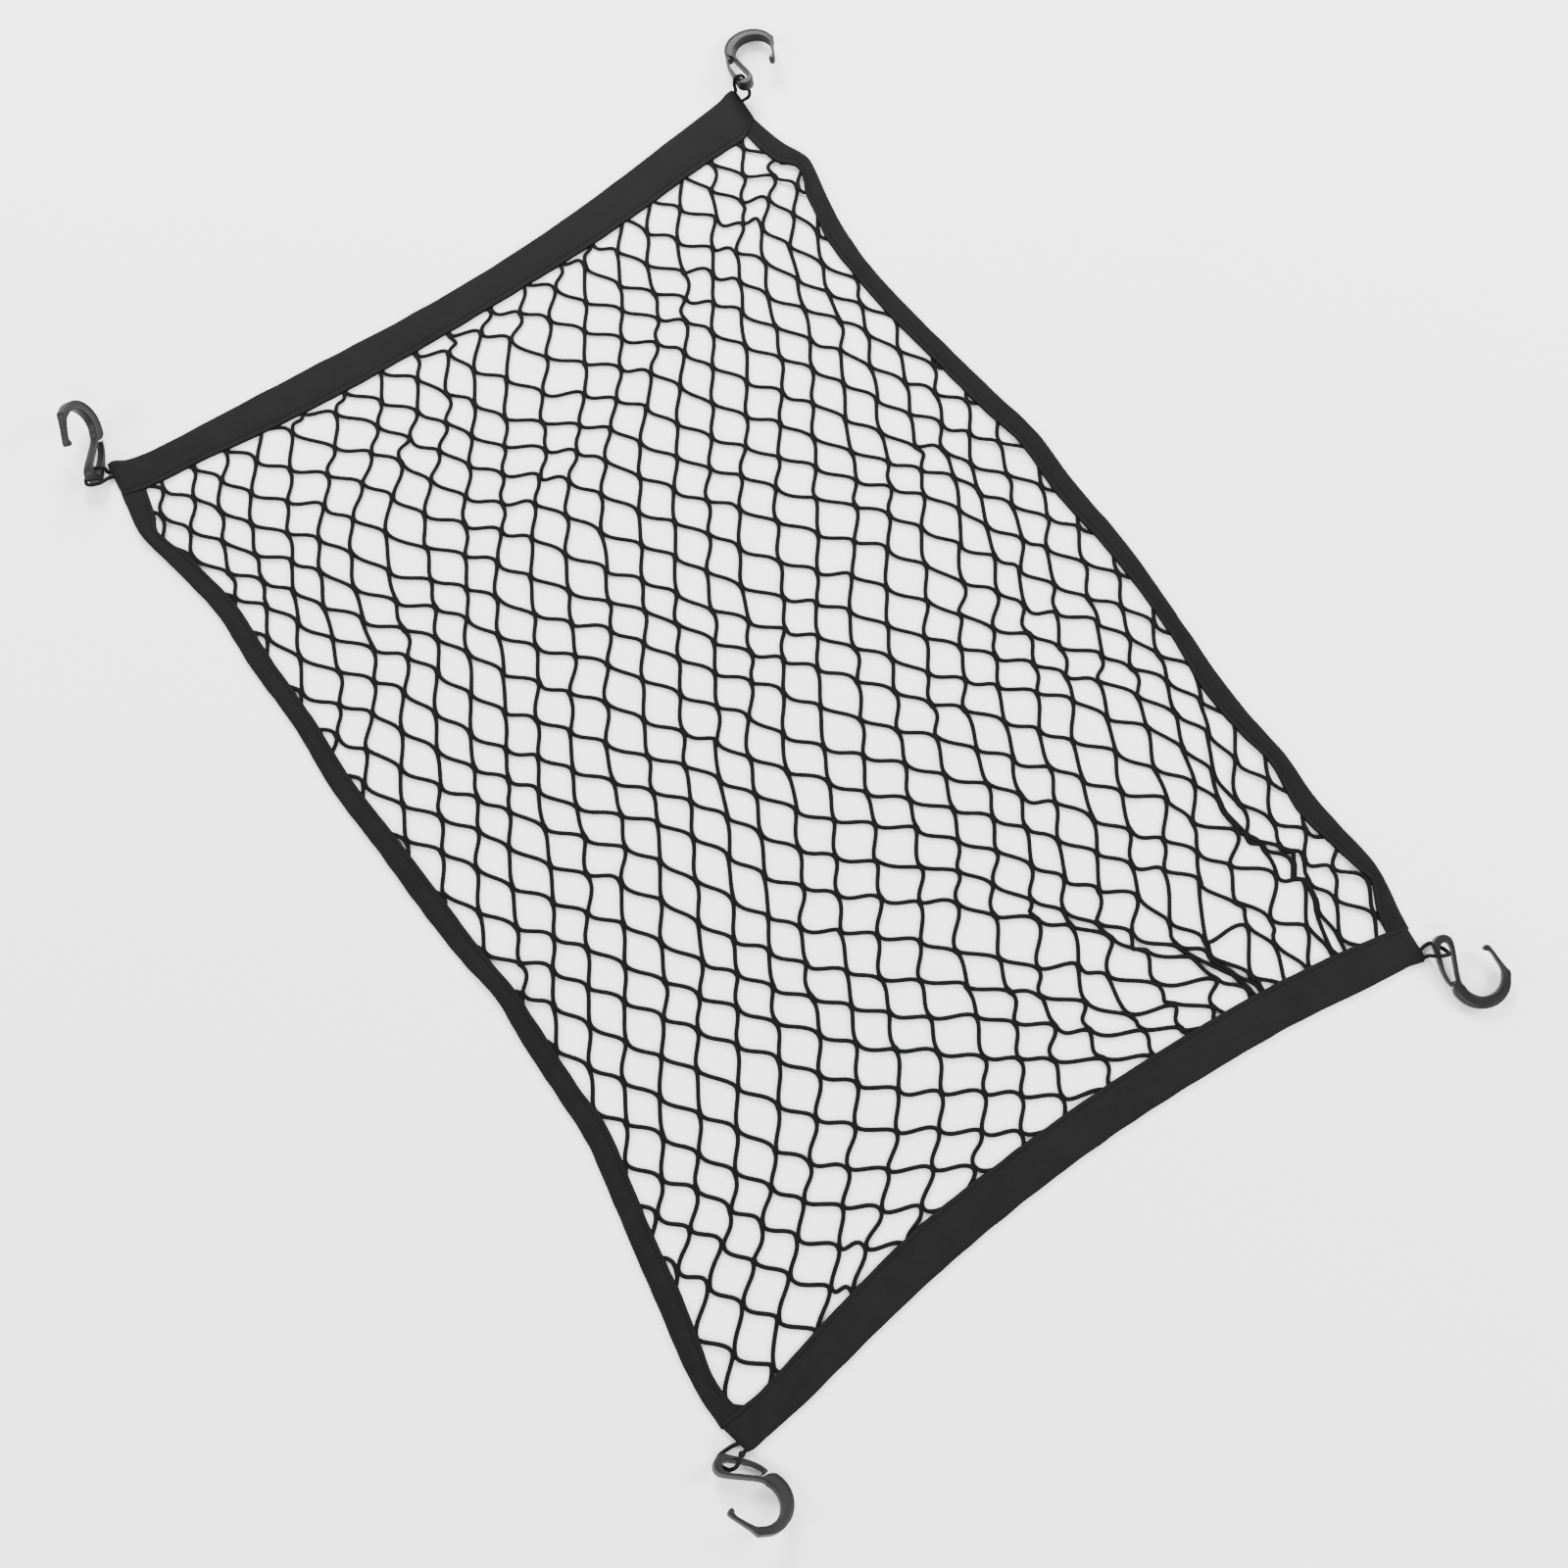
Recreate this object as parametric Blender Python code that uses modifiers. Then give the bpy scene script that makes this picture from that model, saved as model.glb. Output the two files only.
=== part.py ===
"""Cargo net lying flat, with elastic hem bands and four moulded snap hooks.

A knotless diamond net is held along its two short edges by wide woven bands and along
its two long edges by narrow woven bindings, each folded over the edge of the net.
A short elastic cord loop in every corner holds a snap hook.

Frame: +X along the long edges, +Y along the short edges, +Z up, in metres.  The tables
are in millimetres about the middle of the net panel; an empty carries every piece and is
moved so that the origin is the bottom centre of the whole.
"left" is -X, "right" is +X, "near" is -Y and "far" is +Y.
"""
import math
from collections import namedtuple

import bmesh
import bpy
import numpy as np
from mathutils import Matrix, Vector

MM = 0.001

# ---------------------------------------------------------------- driving dimensions, mm
CLOTH = 1.0                 # one layer of band or binding cloth
SLOT = 1.8                  # room for the net between the two layers of a folded edge
SEAM_GAP = 0.8              # between a binding's end and the hem band that covers it
YARN_WIDTH = 3.6            # elastic yarn of the net, seen from above
YARN_HEIGHT = 3.0           # loose yarn
PRESSED_HEIGHT = 1.2        # yarn sewn into a folded edge
FLOOR_GAP = 0.05            # keeps the loose net just off the surface
HEM_GRIP = 8.0              # how far the net reaches into a hem band
BINDING_GRIP = 6.5          # how far the net reaches into a binding
NET_COLUMNS = 11            # diamonds along X
NET_ROWS = 23               # half diamonds along Y
JOIN_SHARE = 0.17           # part of a diamond's length where two yarns run fused together
JOIN_WANDER = 1.6           # spread of the joins about the even lattice
WANDER_SEED = 11
PRESS_FROM = 4.0            # outside a folded edge, where the yarn is fully pressed
PRESS_REACH = 30.0          # outside a folded edge, where it is fully loose
SELVEDGE_YARN = 30.0        # yarns along a binding are split above this length
CORD = 3.1                  # diameter of a corner loop's cord
CORD_STEP = 2.5             # between the points of a cord, which bends tightly round the eye

# Wide hem bands, a row for each section: across is Y, outer and inner are X.
HemRow = namedtuple("HemRow", "across outer inner")
HEM_LEFT = [
    HemRow(-310.0, -446.0, -425.5),
    HemRow(-307.2, -453.5, -424.5),
    HemRow(-304.0, -456.0, -424.0),
    HemRow(-290.0, -452.0, -420.0),
    HemRow(-250.0, -445.0, -416.5),
    HemRow(-200.0, -442.0, -410.0),
    HemRow(-120.0, -437.0, -403.0),
    HemRow(-40.0, -432.0, -400.5),
    HemRow(40.0, -431.0, -400.0),
    HemRow(120.0, -435.0, -401.0),
    HemRow(180.0, -441.0, -405.0),
    HemRow(240.0, -449.0, -410.5),
    HemRow(280.0, -456.0, -412.0),
    HemRow(297.0, -458.0, -421.0),
    HemRow(299.5, -456.0, -423.0),
    HemRow(302.3, -448.0, -424.5),
]
HEM_RIGHT = [
    HemRow(-313.8, 445.0, 430.0),
    HemRow(-310.6, 452.5, 429.8),
    HemRow(-306.5, 456.7, 429.5),
    HemRow(-290.0, 456.0, 428.0),
    HemRow(-260.0, 453.0, 422.0),
    HemRow(-200.0, 444.0, 412.0),
    HemRow(-120.0, 434.0, 399.5),
    HemRow(-40.0, 429.0, 396.0),
    HemRow(40.0, 428.5, 396.0),
    HemRow(120.0, 433.0, 400.0),
    HemRow(200.0, 441.0, 408.0),
    HemRow(260.0, 451.0, 418.0),
    HemRow(290.0, 456.5, 425.0),
    HemRow(302.5, 458.5, 429.0),
    HemRow(305.8, 456.5, 429.5),
    HemRow(309.4, 448.5, 430.0),
]

# Narrow bindings: along is X, outer and inner are Y, lift is how far a pucker stands
# off the surface.
BindingRow = namedtuple("BindingRow", "along outer inner lift")
BINDING_FAR = [
    BindingRow(-425.0, 301.0, 283.0, 0.0),
    BindingRow(-390.0, 307.0, 288.0, 0.6),
    BindingRow(-362.0, 315.0, 302.0, 1.6),
    BindingRow(-330.0, 309.0, 292.0, 0.7),
    BindingRow(-300.0, 304.0, 285.5, 0.0),
    BindingRow(-255.0, 301.0, 285.0, 0.0),
    BindingRow(-210.0, 304.0, 287.0, 0.0),
    BindingRow(-150.0, 311.0, 294.0, 0.0),
    BindingRow(-90.0, 319.0, 301.0, 0.5),
    BindingRow(-60.0, 323.5, 306.5, 1.0),
    BindingRow(0.0, 323.0, 305.0, 0.0),
    BindingRow(60.0, 325.0, 309.0, 0.5),
    BindingRow(150.0, 320.0, 306.0, 0.5),
    BindingRow(195.0, 317.0, 300.0, 0.0),
    BindingRow(240.0, 317.0, 301.0, 0.5),
    BindingRow(270.0, 319.0, 305.0, 1.2),
    BindingRow(315.0, 317.0, 299.0, 0.0),
    BindingRow(360.0, 320.0, 305.0, 0.8),
    BindingRow(388.0, 321.0, 308.5, 1.6),
    BindingRow(415.0, 313.5, 296.0, 0.5),
    BindingRow(432.0, 311.0, 294.0, 0.0),
]
BINDING_NEAR = [
    BindingRow(-428.0, -312.0, -293.0, 0.0),
    BindingRow(-390.0, -317.0, -301.0, 1.0),
    BindingRow(-360.0, -312.0, -295.5, 0.5),
    BindingRow(-330.0, -306.0, -289.5, 0.0),
    BindingRow(-300.0, -301.0, -284.5, 0.0),
    BindingRow(-240.0, -301.0, -284.0, 0.0),
    BindingRow(-180.0, -298.0, -282.0, 0.0),
    BindingRow(-120.0, -300.0, -283.0, 0.0),
    BindingRow(-60.0, -296.0, -278.5, 0.5),
    BindingRow(0.0, -293.0, -274.5, 0.0),
    BindingRow(50.0, -288.5, -271.5, 0.0),
    BindingRow(90.0, -282.5, -267.0, 1.2),
    BindingRow(120.0, -284.0, -267.0, 0.5),
    BindingRow(180.0, -284.0, -267.0, 0.0),
    BindingRow(210.0, -284.0, -265.5, 0.0),
    BindingRow(255.0, -291.0, -273.0, 0.0),
    BindingRow(300.0, -299.0, -281.0, 0.0),
    BindingRow(345.0, -306.5, -287.5, 0.0),
    BindingRow(390.0, -314.0, -297.0, 0.5),
    BindingRow(434.0, -316.0, -297.0, 0.0),
]

# Slack in the net: where it is centred in shares of the panel, how far it reaches, and
# how far the yarn is pushed there.
SlackRow = namedtuple("SlackRow", "along across reach push_x push_y")
SLACK = [
    SlackRow(0.90, 0.70, 0.13, 5.0, 7.0),
    SlackRow(0.82, 0.86, 0.10, -4.0, -6.0),
    SlackRow(0.08, 0.90, 0.10, 6.0, -5.0),
    SlackRow(0.45, 0.30, 0.25, 3.0, 4.0),
    SlackRow(0.70, 0.45, 0.22, -4.0, 3.0),
]

# Snap hook, in its own axes: along runs from the eye's centre down the shank, across
# towards the finger.  A ribbon of plastic runs from the tip of the spring gate round the
# eye, down the shank, round the bow and up the finger.
HookRow = namedtuple("HookRow", "a_along a_across b_along b_across depth")
HOOK_GATE = [
    HookRow(32.1, 0.9, 31.3, 2.0, 5.8),
    HookRow(31.5, 0.5, 29.5, 2.9, 6.2),
    HookRow(30.8, 0.1, 27.8, 4.2, 6.2),      # barb that snaps behind the shoulder
    HookRow(29.5, -0.8, 28.4, 1.4, 6.2),
    HookRow(26.7, -2.2, 25.6, -0.2, 6.6),
    HookRow(20.2, -4.3, 19.4, -2.2, 7.2),
    HookRow(11.5, -5.8, 11.2, -3.0, 8.0),
    HookRow(4.5, -6.6, 4.6, -3.4, 8.8),
]
EYE_DEPTH = 9.0
EYE_OUTER_RADIUS = 7.1
EYE_INNER_RADIUS = 4.0
EYE_INNER_CENTRE = (2.9, 0.9)
EYE_ANGLES = (262.0, 95.0, 9)                # first and last angle, sections
HOOK_SHANK = [
    HookRow(4.0, 7.5, 4.0, 5.4, 8.8),
    HookRow(15.0, 7.6, 15.0, 5.6, 8.2),
    HookRow(24.0, 7.7, 24.5, 5.6, 7.8),
    HookRow(28.5, 8.2, 28.2, 5.6, 7.6),
    HookRow(30.6, 8.9, 31.9, 3.4, 7.6),      # shoulder behind which the barb sits
]
BOW_DEPTH = 7.6
BOW_OUTER_RADIUS = 22.0
BOW_OUTER_CENTRE = (28.9, 22.9)
BOW_INNER_RADIUS = 15.2
BOW_INNER_CENTRE = (26.5, 24.3)
BOW_ANGLES = (-68.0, 86.0, 12)
HOOK_FINGER = [
    HookRow(24.4, 39.7, 26.1, 45.4, 7.2),
    HookRow(20.5, 38.5, 21.8, 42.5, 7.0),
    HookRow(15.7, 36.4, 15.0, 38.8, 6.6),
    HookRow(10.5, 33.9, 9.2, 35.8, 6.4),
    HookRow(8.4, 32.2, 6.4, 33.8, 6.4),
    HookRow(7.9, 30.5, 4.6, 31.7, 6.4),      # rounded knob at the tip
    HookRow(7.2, 29.1, 5.2, 29.6, 5.6),
]
HOOK_EDGE = 0.8                              # chamfer along the ribbon's edges
HOOK_EDGE_SHARE = 0.3                        # of a thin section's width, at most

# How each hook lies: x and y of the eye's centre, heading of the shank from +X, pitch
# that lets the bow end down, roll about the shank.  It rests on its lowest point.
HookPose = namedtuple("HookPose", "x y heading pitch roll")
HOOKS = {
    "left_far": HookPose(-449.7, 309.7, 178.4, 14.6, 179.6),
    "left_near": HookPose(-450.5, -320.9, 145.0, 14.5, 66.2),
    "right_near": HookPose(453.0, -326.4, 48.7, 13.0, 153.8),
    "right_far": HookPose(455.9, 320.7, -27.9, 7.0, 3.5),
}

# Corner loops: x, y and z of the cord where it leaves the corner of the hem band, the
# points that it passes in the axes of the hook, and where it returns to the corner.
PathRow = namedtuple("PathRow", "along x y z")
LoopRoute = namedtuple("LoopRoute", "leaves wraps returns")
LOOPS = {
    "left_far": LoopRoute(
        [(-454.6, 300.9, 2.1), (-455.2, 303.2, 2.6)],
        [(7.0, -6.5, 8.5), (5.5, -2.4, 6.8), (3.4, 0.6, 2.0), (2.0, 0.9, -3.0), (-0.8, 0.8, -6.4),
         (-4.6, 0.2, -6.8), (-8.8, -1.0, -5.4), (-9.6, -2.6, 0.5), (-7.5, -5.2, 6.0)],
        [(-443.6, 305.2, 2.6), (-443.9, 303.2, 2.1)]),
    "left_near": LoopRoute(
        [(-449.7, -310.5, 2.0), (-449.8, -311.7, 2.8)],
        [(6.0, -4.6, 6.6), (5.4, -1.4, 5.4), (4.4, 0.7, 2.4), (2.9, 0.9, -2.0), (1.0, 0.5, -6.4),
         (-3.0, 0.0, -7.0), (-8.2, -0.6, -5.9), (-10.0, -1.4, -1.8), (-9.6, -2.4, 2.0),
         (-8.2, -3.8, 5.6), (-5.0, -5.6, 7.0)],
        [(-444.6, -312.6, 2.6), (-444.4, -310.6, 2.0)]),
    "right_near": LoopRoute(
        [(447.0, -314.4, 2.0), (446.5, -316.0, 2.0)],
        [(-2.0, -7.8, 6.2), (-1.4, -4.4, 6.5), (0.8, -1.6, 6.2), (3.0, 0.6, 4.0), (5.4, 2.2, 0.5),
         (8.0, 2.0, -4.0), (9.8, -0.6, -6.4), (10.6, -4.4, -6.6), (11.6, -8.2, -4.6)],
        [(455.9, -311.8, 3.2), (454.4, -310.4, 2.1)]),
    "right_far": LoopRoute(
        [(450.1, 310.0, 2.0), (449.6, 312.2, 2.0)],
        [(-1.8, -6.8, -6.3), (0.2, -3.0, -6.6), (3.0, 0.6, -4.0), (5.8, 2.2, 0.5), (8.0, 2.0, 4.6),
         (8.6, -2.0, 6.8), (8.4, -6.0, 6.5), (7.8, -9.2, 2.0)],
        [(457.4, 309.2, 3.2), (456.6, 307.2, 2.1)]),
}

# Steps of the searches that work out where two curves meet, and points along a curve.
MEETING_STEPS = 25
EDGE_POINTS = 200
CURVE_POINTS = 400

# Colours: base colour, roughness, metallic
FINISHES = {
    "net_yarn": ((0.012, 0.012, 0.013), 0.85, 0.0),
    "hem_cloth": ((0.020, 0.020, 0.021), 0.92, 0.0),
    "binding_cloth": ((0.018, 0.018, 0.019), 0.92, 0.0),
    "loop_cord": ((0.014, 0.014, 0.015), 0.80, 0.0),
    "hook_plastic": ((0.040, 0.040, 0.042), 0.38, 0.0),
}


# ---------------------------------------------------------------- curves through tables
def column(rows, name):
    return np.array([getattr(row, name) for row in rows])


def smooth(rows, key, value, at):
    """Value of one column at a place along the table: a cubic through the rows."""
    x, y = column(rows, key), column(rows, value)
    step = np.diff(x)
    slope = np.diff(y) / step
    inner = (slope[:-1] * step[1:] + slope[1:] * step[:-1]) / (step[1:] + step[:-1])
    tangent = np.concatenate([slope[:1], inner, slope[-1:]])
    at = np.asarray(at, dtype=float)
    i = np.clip(np.searchsorted(x, at) - 1, 0, len(step) - 1)
    t = (at - x[i]) / step[i]
    inside = np.clip(t, 0.0, 1.0)
    h = step[i]
    cubic = ((2 * inside**3 - 3 * inside**2 + 1) * y[i]
             + (inside**3 - 2 * inside**2 + inside) * h * tangent[i]
             + (3 * inside**2 - 2 * inside**3) * y[i + 1]
             + (inside**3 - inside**2) * h * tangent[i + 1])
    past_end = (t - inside) * h * np.where(t > inside, tangent[-1], tangent[0])
    return cubic + past_end


def hem_inner(rows, across):
    return smooth(rows, "across", "inner", across)


def binding_inner(rows, along):
    return smooth(rows, "along", "inner", along)


def subdivided(values, parts):
    """The values with each interval split into equal parts."""
    steps = [np.linspace(a, b, parts, endpoint=False) for a, b in zip(values, values[1:])]
    return np.concatenate(steps + [[values[-1]]])


# ---------------------------------------------------------------- scene and materials
def clear_scene():
    for obj in list(bpy.data.objects):
        bpy.data.objects.remove(obj, do_unlink=True)


def finish(name):
    colour, roughness, metallic = FINISHES[name]
    material = bpy.data.materials.get(name) or bpy.data.materials.new(name)
    material.use_nodes = True
    shader = material.node_tree.nodes["Principled BSDF"]
    shader.inputs["Base Color"].default_value = (*colour, 1.0)
    shader.inputs["Roughness"].default_value = roughness
    shader.inputs["Metallic"].default_value = metallic
    return material


def add_object(name, data, material, collection, frame):
    """Put mesh or curve data into the scene as one piece that the empty carries."""
    obj = bpy.data.objects.new(name, data)
    if not data.materials:
        data.materials.append(finish(material))
    collection.objects.link(obj)
    obj.parent = frame
    return obj


def mesh_from(name, bm):
    mesh = bpy.data.meshes.new(name)
    bm.to_mesh(mesh)
    bm.free()
    return mesh


def loft_faces(bm, sections, closed):
    """Quads between neighbouring sections; a closed section also joins last to first."""
    for a, b in zip(sections, sections[1:]):
        count = len(a) if closed else len(a) - 1
        for i in range(count):
            j = (i + 1) % len(a)
            bm.faces.new((a[i], a[j], b[j], b[i]))


# ---------------------------------------------------------------- folded edges
def fold_profile(width):
    """Outer skin of a folded strip: distance in from the outer edge, and height."""
    radius = SLOT / 2 + CLOTH
    turn = np.radians([-90.0, -30.0, 30.0, 90.0])
    fold = [(radius - radius * math.cos(a), radius + radius * math.sin(a)) for a in turn]
    return [(width, fold[0][1])] + fold + [(width, fold[-1][1])]


def folded_strip(name, stations, material, collection, frame):
    """Cloth folded over the edge of the net: its outer skin, made solid inward.

    A station is the outer point, the inner point and the lift of one section.
    """
    bm = bmesh.new()
    sections = []
    for outer, inner, lift in stations:
        outer, inner = Vector(outer), Vector(inner)
        inward = (inner - outer).normalized()
        section = []
        for distance, height in fold_profile((inner - outer).length):
            place = outer + inward * distance
            section.append(bm.verts.new((place.x * MM, place.y * MM, (height + lift) * MM)))
        sections.append(section)
    loft_faces(bm, sections, closed=False)
    bm.normal_update()
    if min(bm.faces, key=lambda f: f.calc_center_median().z).normal.z > 0:
        bmesh.ops.reverse_faces(bm, faces=bm.faces)
    mesh = mesh_from(name, bm)
    strip = add_object(name, mesh, material, collection, frame)
    solid = strip.modifiers.new("cloth", "SOLIDIFY")
    solid.thickness = CLOTH * MM
    solid.offset = -1.0
    solid.use_even_offset = True
    return strip


def hem_stations(rows):
    stations = []
    for y in subdivided(column(rows, "across"), 2):
        outer = smooth(rows, "across", "outer", y)
        stations.append(((outer, y), (hem_inner(rows, y), y), 0.0))
    return stations


def butt_point(rows, edge, hem, gap):
    """Where one edge of a binding meets the inner edge of a hem band."""
    x = hem_inner(hem, 0.0)
    for _ in range(MEETING_STEPS):
        x = hem_inner(hem, smooth(rows, "along", edge, x)) + gap
    return (float(x), float(smooth(rows, "along", edge, x)))


def binding_stations(rows):
    left = [butt_point(rows, edge, HEM_LEFT, SEAM_GAP) for edge in ("outer", "inner")]
    right = [butt_point(rows, edge, HEM_RIGHT, -SEAM_GAP) for edge in ("outer", "inner")]
    stations = [(*left, 0.0)]
    first = left[1][0] + PRESS_FROM
    last = right[1][0] - PRESS_FROM
    for x in subdivided(column(rows, "along"), 2):
        if first < x < last:
            outer, inner, lift = (float(smooth(rows, "along", name, x))
                                  for name in ("outer", "inner", "lift"))
            stations.append(((x, outer), (x, inner), max(lift, 0.0)))
    stations.append((*right, 0.0))
    return stations


# ---------------------------------------------------------------- net
def net_edges():
    """The four edges of the net, inside the folded bands, as arrays of plan points."""
    share = np.linspace(0.0, 1.0, EDGE_POINTS)

    def corner(hem, hem_grip, binding, grip):
        x, y = float(hem_inner(hem, 0.0)), 0.0
        for _ in range(MEETING_STEPS):
            y = float(binding_inner(binding, x)) + grip
            x = float(hem_inner(hem, y)) + hem_grip
        return x, y

    near_left = corner(HEM_LEFT, -HEM_GRIP, BINDING_NEAR, -BINDING_GRIP)
    near_right = corner(HEM_RIGHT, HEM_GRIP, BINDING_NEAR, -BINDING_GRIP)
    far_left = corner(HEM_LEFT, -HEM_GRIP, BINDING_FAR, BINDING_GRIP)
    far_right = corner(HEM_RIGHT, HEM_GRIP, BINDING_FAR, BINDING_GRIP)

    def side(start, end, hem, grip):
        y = start[1] + (end[1] - start[1]) * share
        return np.stack([hem_inner(hem, y) + grip, y], axis=1)

    def long_side(start, end, binding, grip):
        x = start[0] + (end[0] - start[0]) * share
        return np.stack([x, binding_inner(binding, x) + grip], axis=1)

    left = side(near_left, far_left, HEM_LEFT, -HEM_GRIP)
    right = side(near_right, far_right, HEM_RIGHT, HEM_GRIP)
    near = long_side(near_left, near_right, BINDING_NEAR, -BINDING_GRIP)
    far = long_side(far_left, far_right, BINDING_FAR, BINDING_GRIP)
    return share, left, right, near, far


def panel_point(s, t, edges):
    """Plan point of the net at shares s along X and t along Y: a patch blended between
    the four edges."""
    share, left, right, near, far = edges

    def along(curve, at):
        return np.array([np.interp(at, share, curve[:, 0]), np.interp(at, share, curve[:, 1])])

    corners = ((1 - s) * (1 - t) * near[0] + s * (1 - t) * near[-1]
               + (1 - s) * t * far[0] + s * t * far[-1])
    return ((1 - t) * along(near, s) + t * along(far, s)
            + (1 - s) * along(left, t) + s * along(right, t) - corners)


def slack_push(s, t):
    """Sum of smooth bumps; it fades to nothing at the panel's edges."""
    push = np.zeros(2)
    for row in SLACK:
        near = ((s - row.along) ** 2 + (t - row.across) ** 2) / row.reach**2
        push += np.array([row.push_x, row.push_y]) * math.exp(-near)
    fade = min(1.0, NET_COLUMNS * min(s, 1 - s)) * min(1.0, NET_COLUMNS * min(t, 1 - t))
    return push * fade


def net_joins(edges):
    """Ends of the fused joins, keyed by half column and half row.

    Joins stand at every other half column of a half row, as in a diamond net.
    """
    random = np.random.default_rng(WANDER_SEED)
    half_columns = 2 * NET_COLUMNS
    reach = JOIN_SHARE / 2 / NET_COLUMNS
    joins = {}
    for row in range(NET_ROWS + 1):
        for col in range(half_columns + 1):
            wander = random.uniform(-JOIN_WANDER, JOIN_WANDER, 2)
            if (row + col) % 2:
                continue
            s, t = col / half_columns, row / NET_ROWS
            inside = 0 < col < half_columns and 0 < row < NET_ROWS
            push = slack_push(s, t) + (wander if inside else 0.0)
            ends = [max(0.0, s - reach), min(1.0, s + reach)]
            joins[col, row] = [panel_point(end, t, edges) + push for end in ends]
    return joins


def net_cells(joins):
    """The join ends round every diamond, in order; the panel's edges cut diamonds off."""
    left, right = 0, 1
    cells = []
    for row in range(NET_ROWS + 1):
        for col in range(2 * NET_COLUMNS + 1):
            if (row + col) % 2:
                outline = [(col, row - 1, left), (col, row - 1, right), (col + 1, row, left),
                           (col, row + 1, right), (col, row + 1, left), (col - 1, row, right)]
                cells.append([key for key in outline if key[:2] in joins])
    return cells


def edge_depth(x, y):
    """Distance past the nearest inner edge into a folded band; negative in the open."""
    return max(hem_inner(HEM_LEFT, y) - x, x - hem_inner(HEM_RIGHT, y),
               y - binding_inner(BINDING_FAR, x), binding_inner(BINDING_NEAR, x) - y)


def press_share(x, y):
    """How far the yarn is pressed flat there: 0 in the open, 1 at a folded edge."""
    share = (edge_depth(x, y) + PRESS_REACH) / (PRESS_REACH - PRESS_FROM)
    share = min(1.0, max(0.0, share))
    return share * share * (3 - 2 * share)


def edge_lift(x, y):
    """How far the nearer binding's pucker lifts the net there."""
    rows = BINDING_FAR if y > 0 else BINDING_NEAR
    lift = max(0.0, float(smooth(rows, "along", "lift", x)))
    away = max(0.0, abs(float(binding_inner(rows, x))) - abs(y))
    return lift * math.exp(-(away / PRESS_REACH) ** 2)


def follow_bindings(bm, edges):
    """Split the long yarns along the net's long edges, so that they follow the binding."""
    _, _, _, near, far = edges
    for edge in list(bm.edges):
        a, b = (v.co.copy() for v in edge.verts)
        run = abs(a.x - b.x)
        if not edge.is_boundary or run < SELVEDGE_YARN or run < abs(a.y - b.y):
            continue
        curve = far if a.y > 0 else near
        start, parts = edge.verts[0], 3
        for i in range(1, parts):
            x = a.x + (b.x - a.x) * i / parts
            edge, vert = bmesh.utils.edge_split(edge, start, 0.5)
            edge = next(e for e in vert.link_edges if e.other_vert(vert) is not start)
            vert.co = (x, float(np.interp(x, curve[:, 0], curve[:, 1])), 0.0)
            start = vert


def split_at_folded_edge(bm):
    """Give every yarn a point just outside the folded edge that it enters."""
    def pressed(place):
        return edge_depth(place.x, place.y) > -PRESS_FROM / 2

    for edge in list(bm.edges):
        a, b = edge.verts
        if pressed(a.co) == pressed(b.co):
            continue
        loose, held = (b, a) if pressed(a.co) else (a, b)
        near, past = 0.0, 1.0
        for _ in range(MEETING_STEPS):
            middle = (near + past) / 2
            if pressed(loose.co.lerp(held.co, middle)):
                past = middle
            else:
                near = middle
        place = loose.co.lerp(held.co, near)
        _, vert = bmesh.utils.edge_split(edge, loose, 0.5)
        vert.co = place


def build_net(collection, frame):
    """Diamond cells as faces, made into yarn by the wireframe tool, then pressed flat
    where the folded edges hold it."""
    edges = net_edges()
    joins = net_joins(edges)
    bm = bmesh.new()
    verts = {}

    def join_vert(key):
        col, row, end = key
        place = tuple(np.round(joins[col, row][end], 6))
        if place not in verts:
            verts[place] = bm.verts.new((place[0], place[1], 0.0))
        return verts[place]

    for keys in net_cells(joins):
        outline = []
        for key in keys:
            point = join_vert(key)
            if point not in outline:
                outline.append(point)
        if len(outline) >= 3:
            bm.faces.new(outline)
    follow_bindings(bm, edges)
    split_at_folded_edge(bm)
    bmesh.ops.recalc_face_normals(bm, faces=bm.faces)
    bmesh.ops.wireframe(bm, faces=bm.faces, thickness=YARN_WIDTH, offset=0.0,
                        use_replace=True, use_boundary=True, use_even_offset=True)
    loose_middle = YARN_HEIGHT / 2 + FLOOR_GAP
    slot_middle = CLOTH + SLOT / 2
    for v in bm.verts:
        press = press_share(v.co.x, v.co.y)
        middle = loose_middle + (slot_middle - loose_middle) * press
        height = YARN_HEIGHT + (PRESSED_HEIGHT - YARN_HEIGHT) * press
        v.co.z = middle + v.co.z * height / YARN_WIDTH + edge_lift(v.co.x, v.co.y)
        v.co *= MM
    bmesh.ops.recalc_face_normals(bm, faces=bm.faces)
    return add_object("net", mesh_from("net", bm), "net_yarn", collection, frame)


# ---------------------------------------------------------------- snap hook
def arc_rows(angles, inner_centre, inner_radius, outer_centre, outer_radius, depth, outer_first):
    """Sections of a ribbon between two arcs that share their angles."""
    first, last, count = angles
    rows = []
    for degrees in np.linspace(first, last, count):
        a = math.radians(degrees)
        inner = (inner_centre[0] + inner_radius * math.cos(a),
                 inner_centre[1] + inner_radius * math.sin(a))
        outer = (outer_centre[0] + outer_radius * math.cos(a),
                 outer_centre[1] + outer_radius * math.sin(a))
        pair = outer + inner if outer_first else inner + outer
        rows.append(HookRow(*pair, depth))
    return rows


def hook_rows():
    eye = arc_rows(EYE_ANGLES, EYE_INNER_CENTRE, EYE_INNER_RADIUS, (0.0, 0.0),
                   EYE_OUTER_RADIUS, EYE_DEPTH, outer_first=True)
    bow = arc_rows(BOW_ANGLES, BOW_INNER_CENTRE, BOW_INNER_RADIUS, BOW_OUTER_CENTRE,
                   BOW_OUTER_RADIUS, BOW_DEPTH, outer_first=False)
    return HOOK_GATE + eye + HOOK_SHANK + bow + HOOK_FINGER


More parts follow.
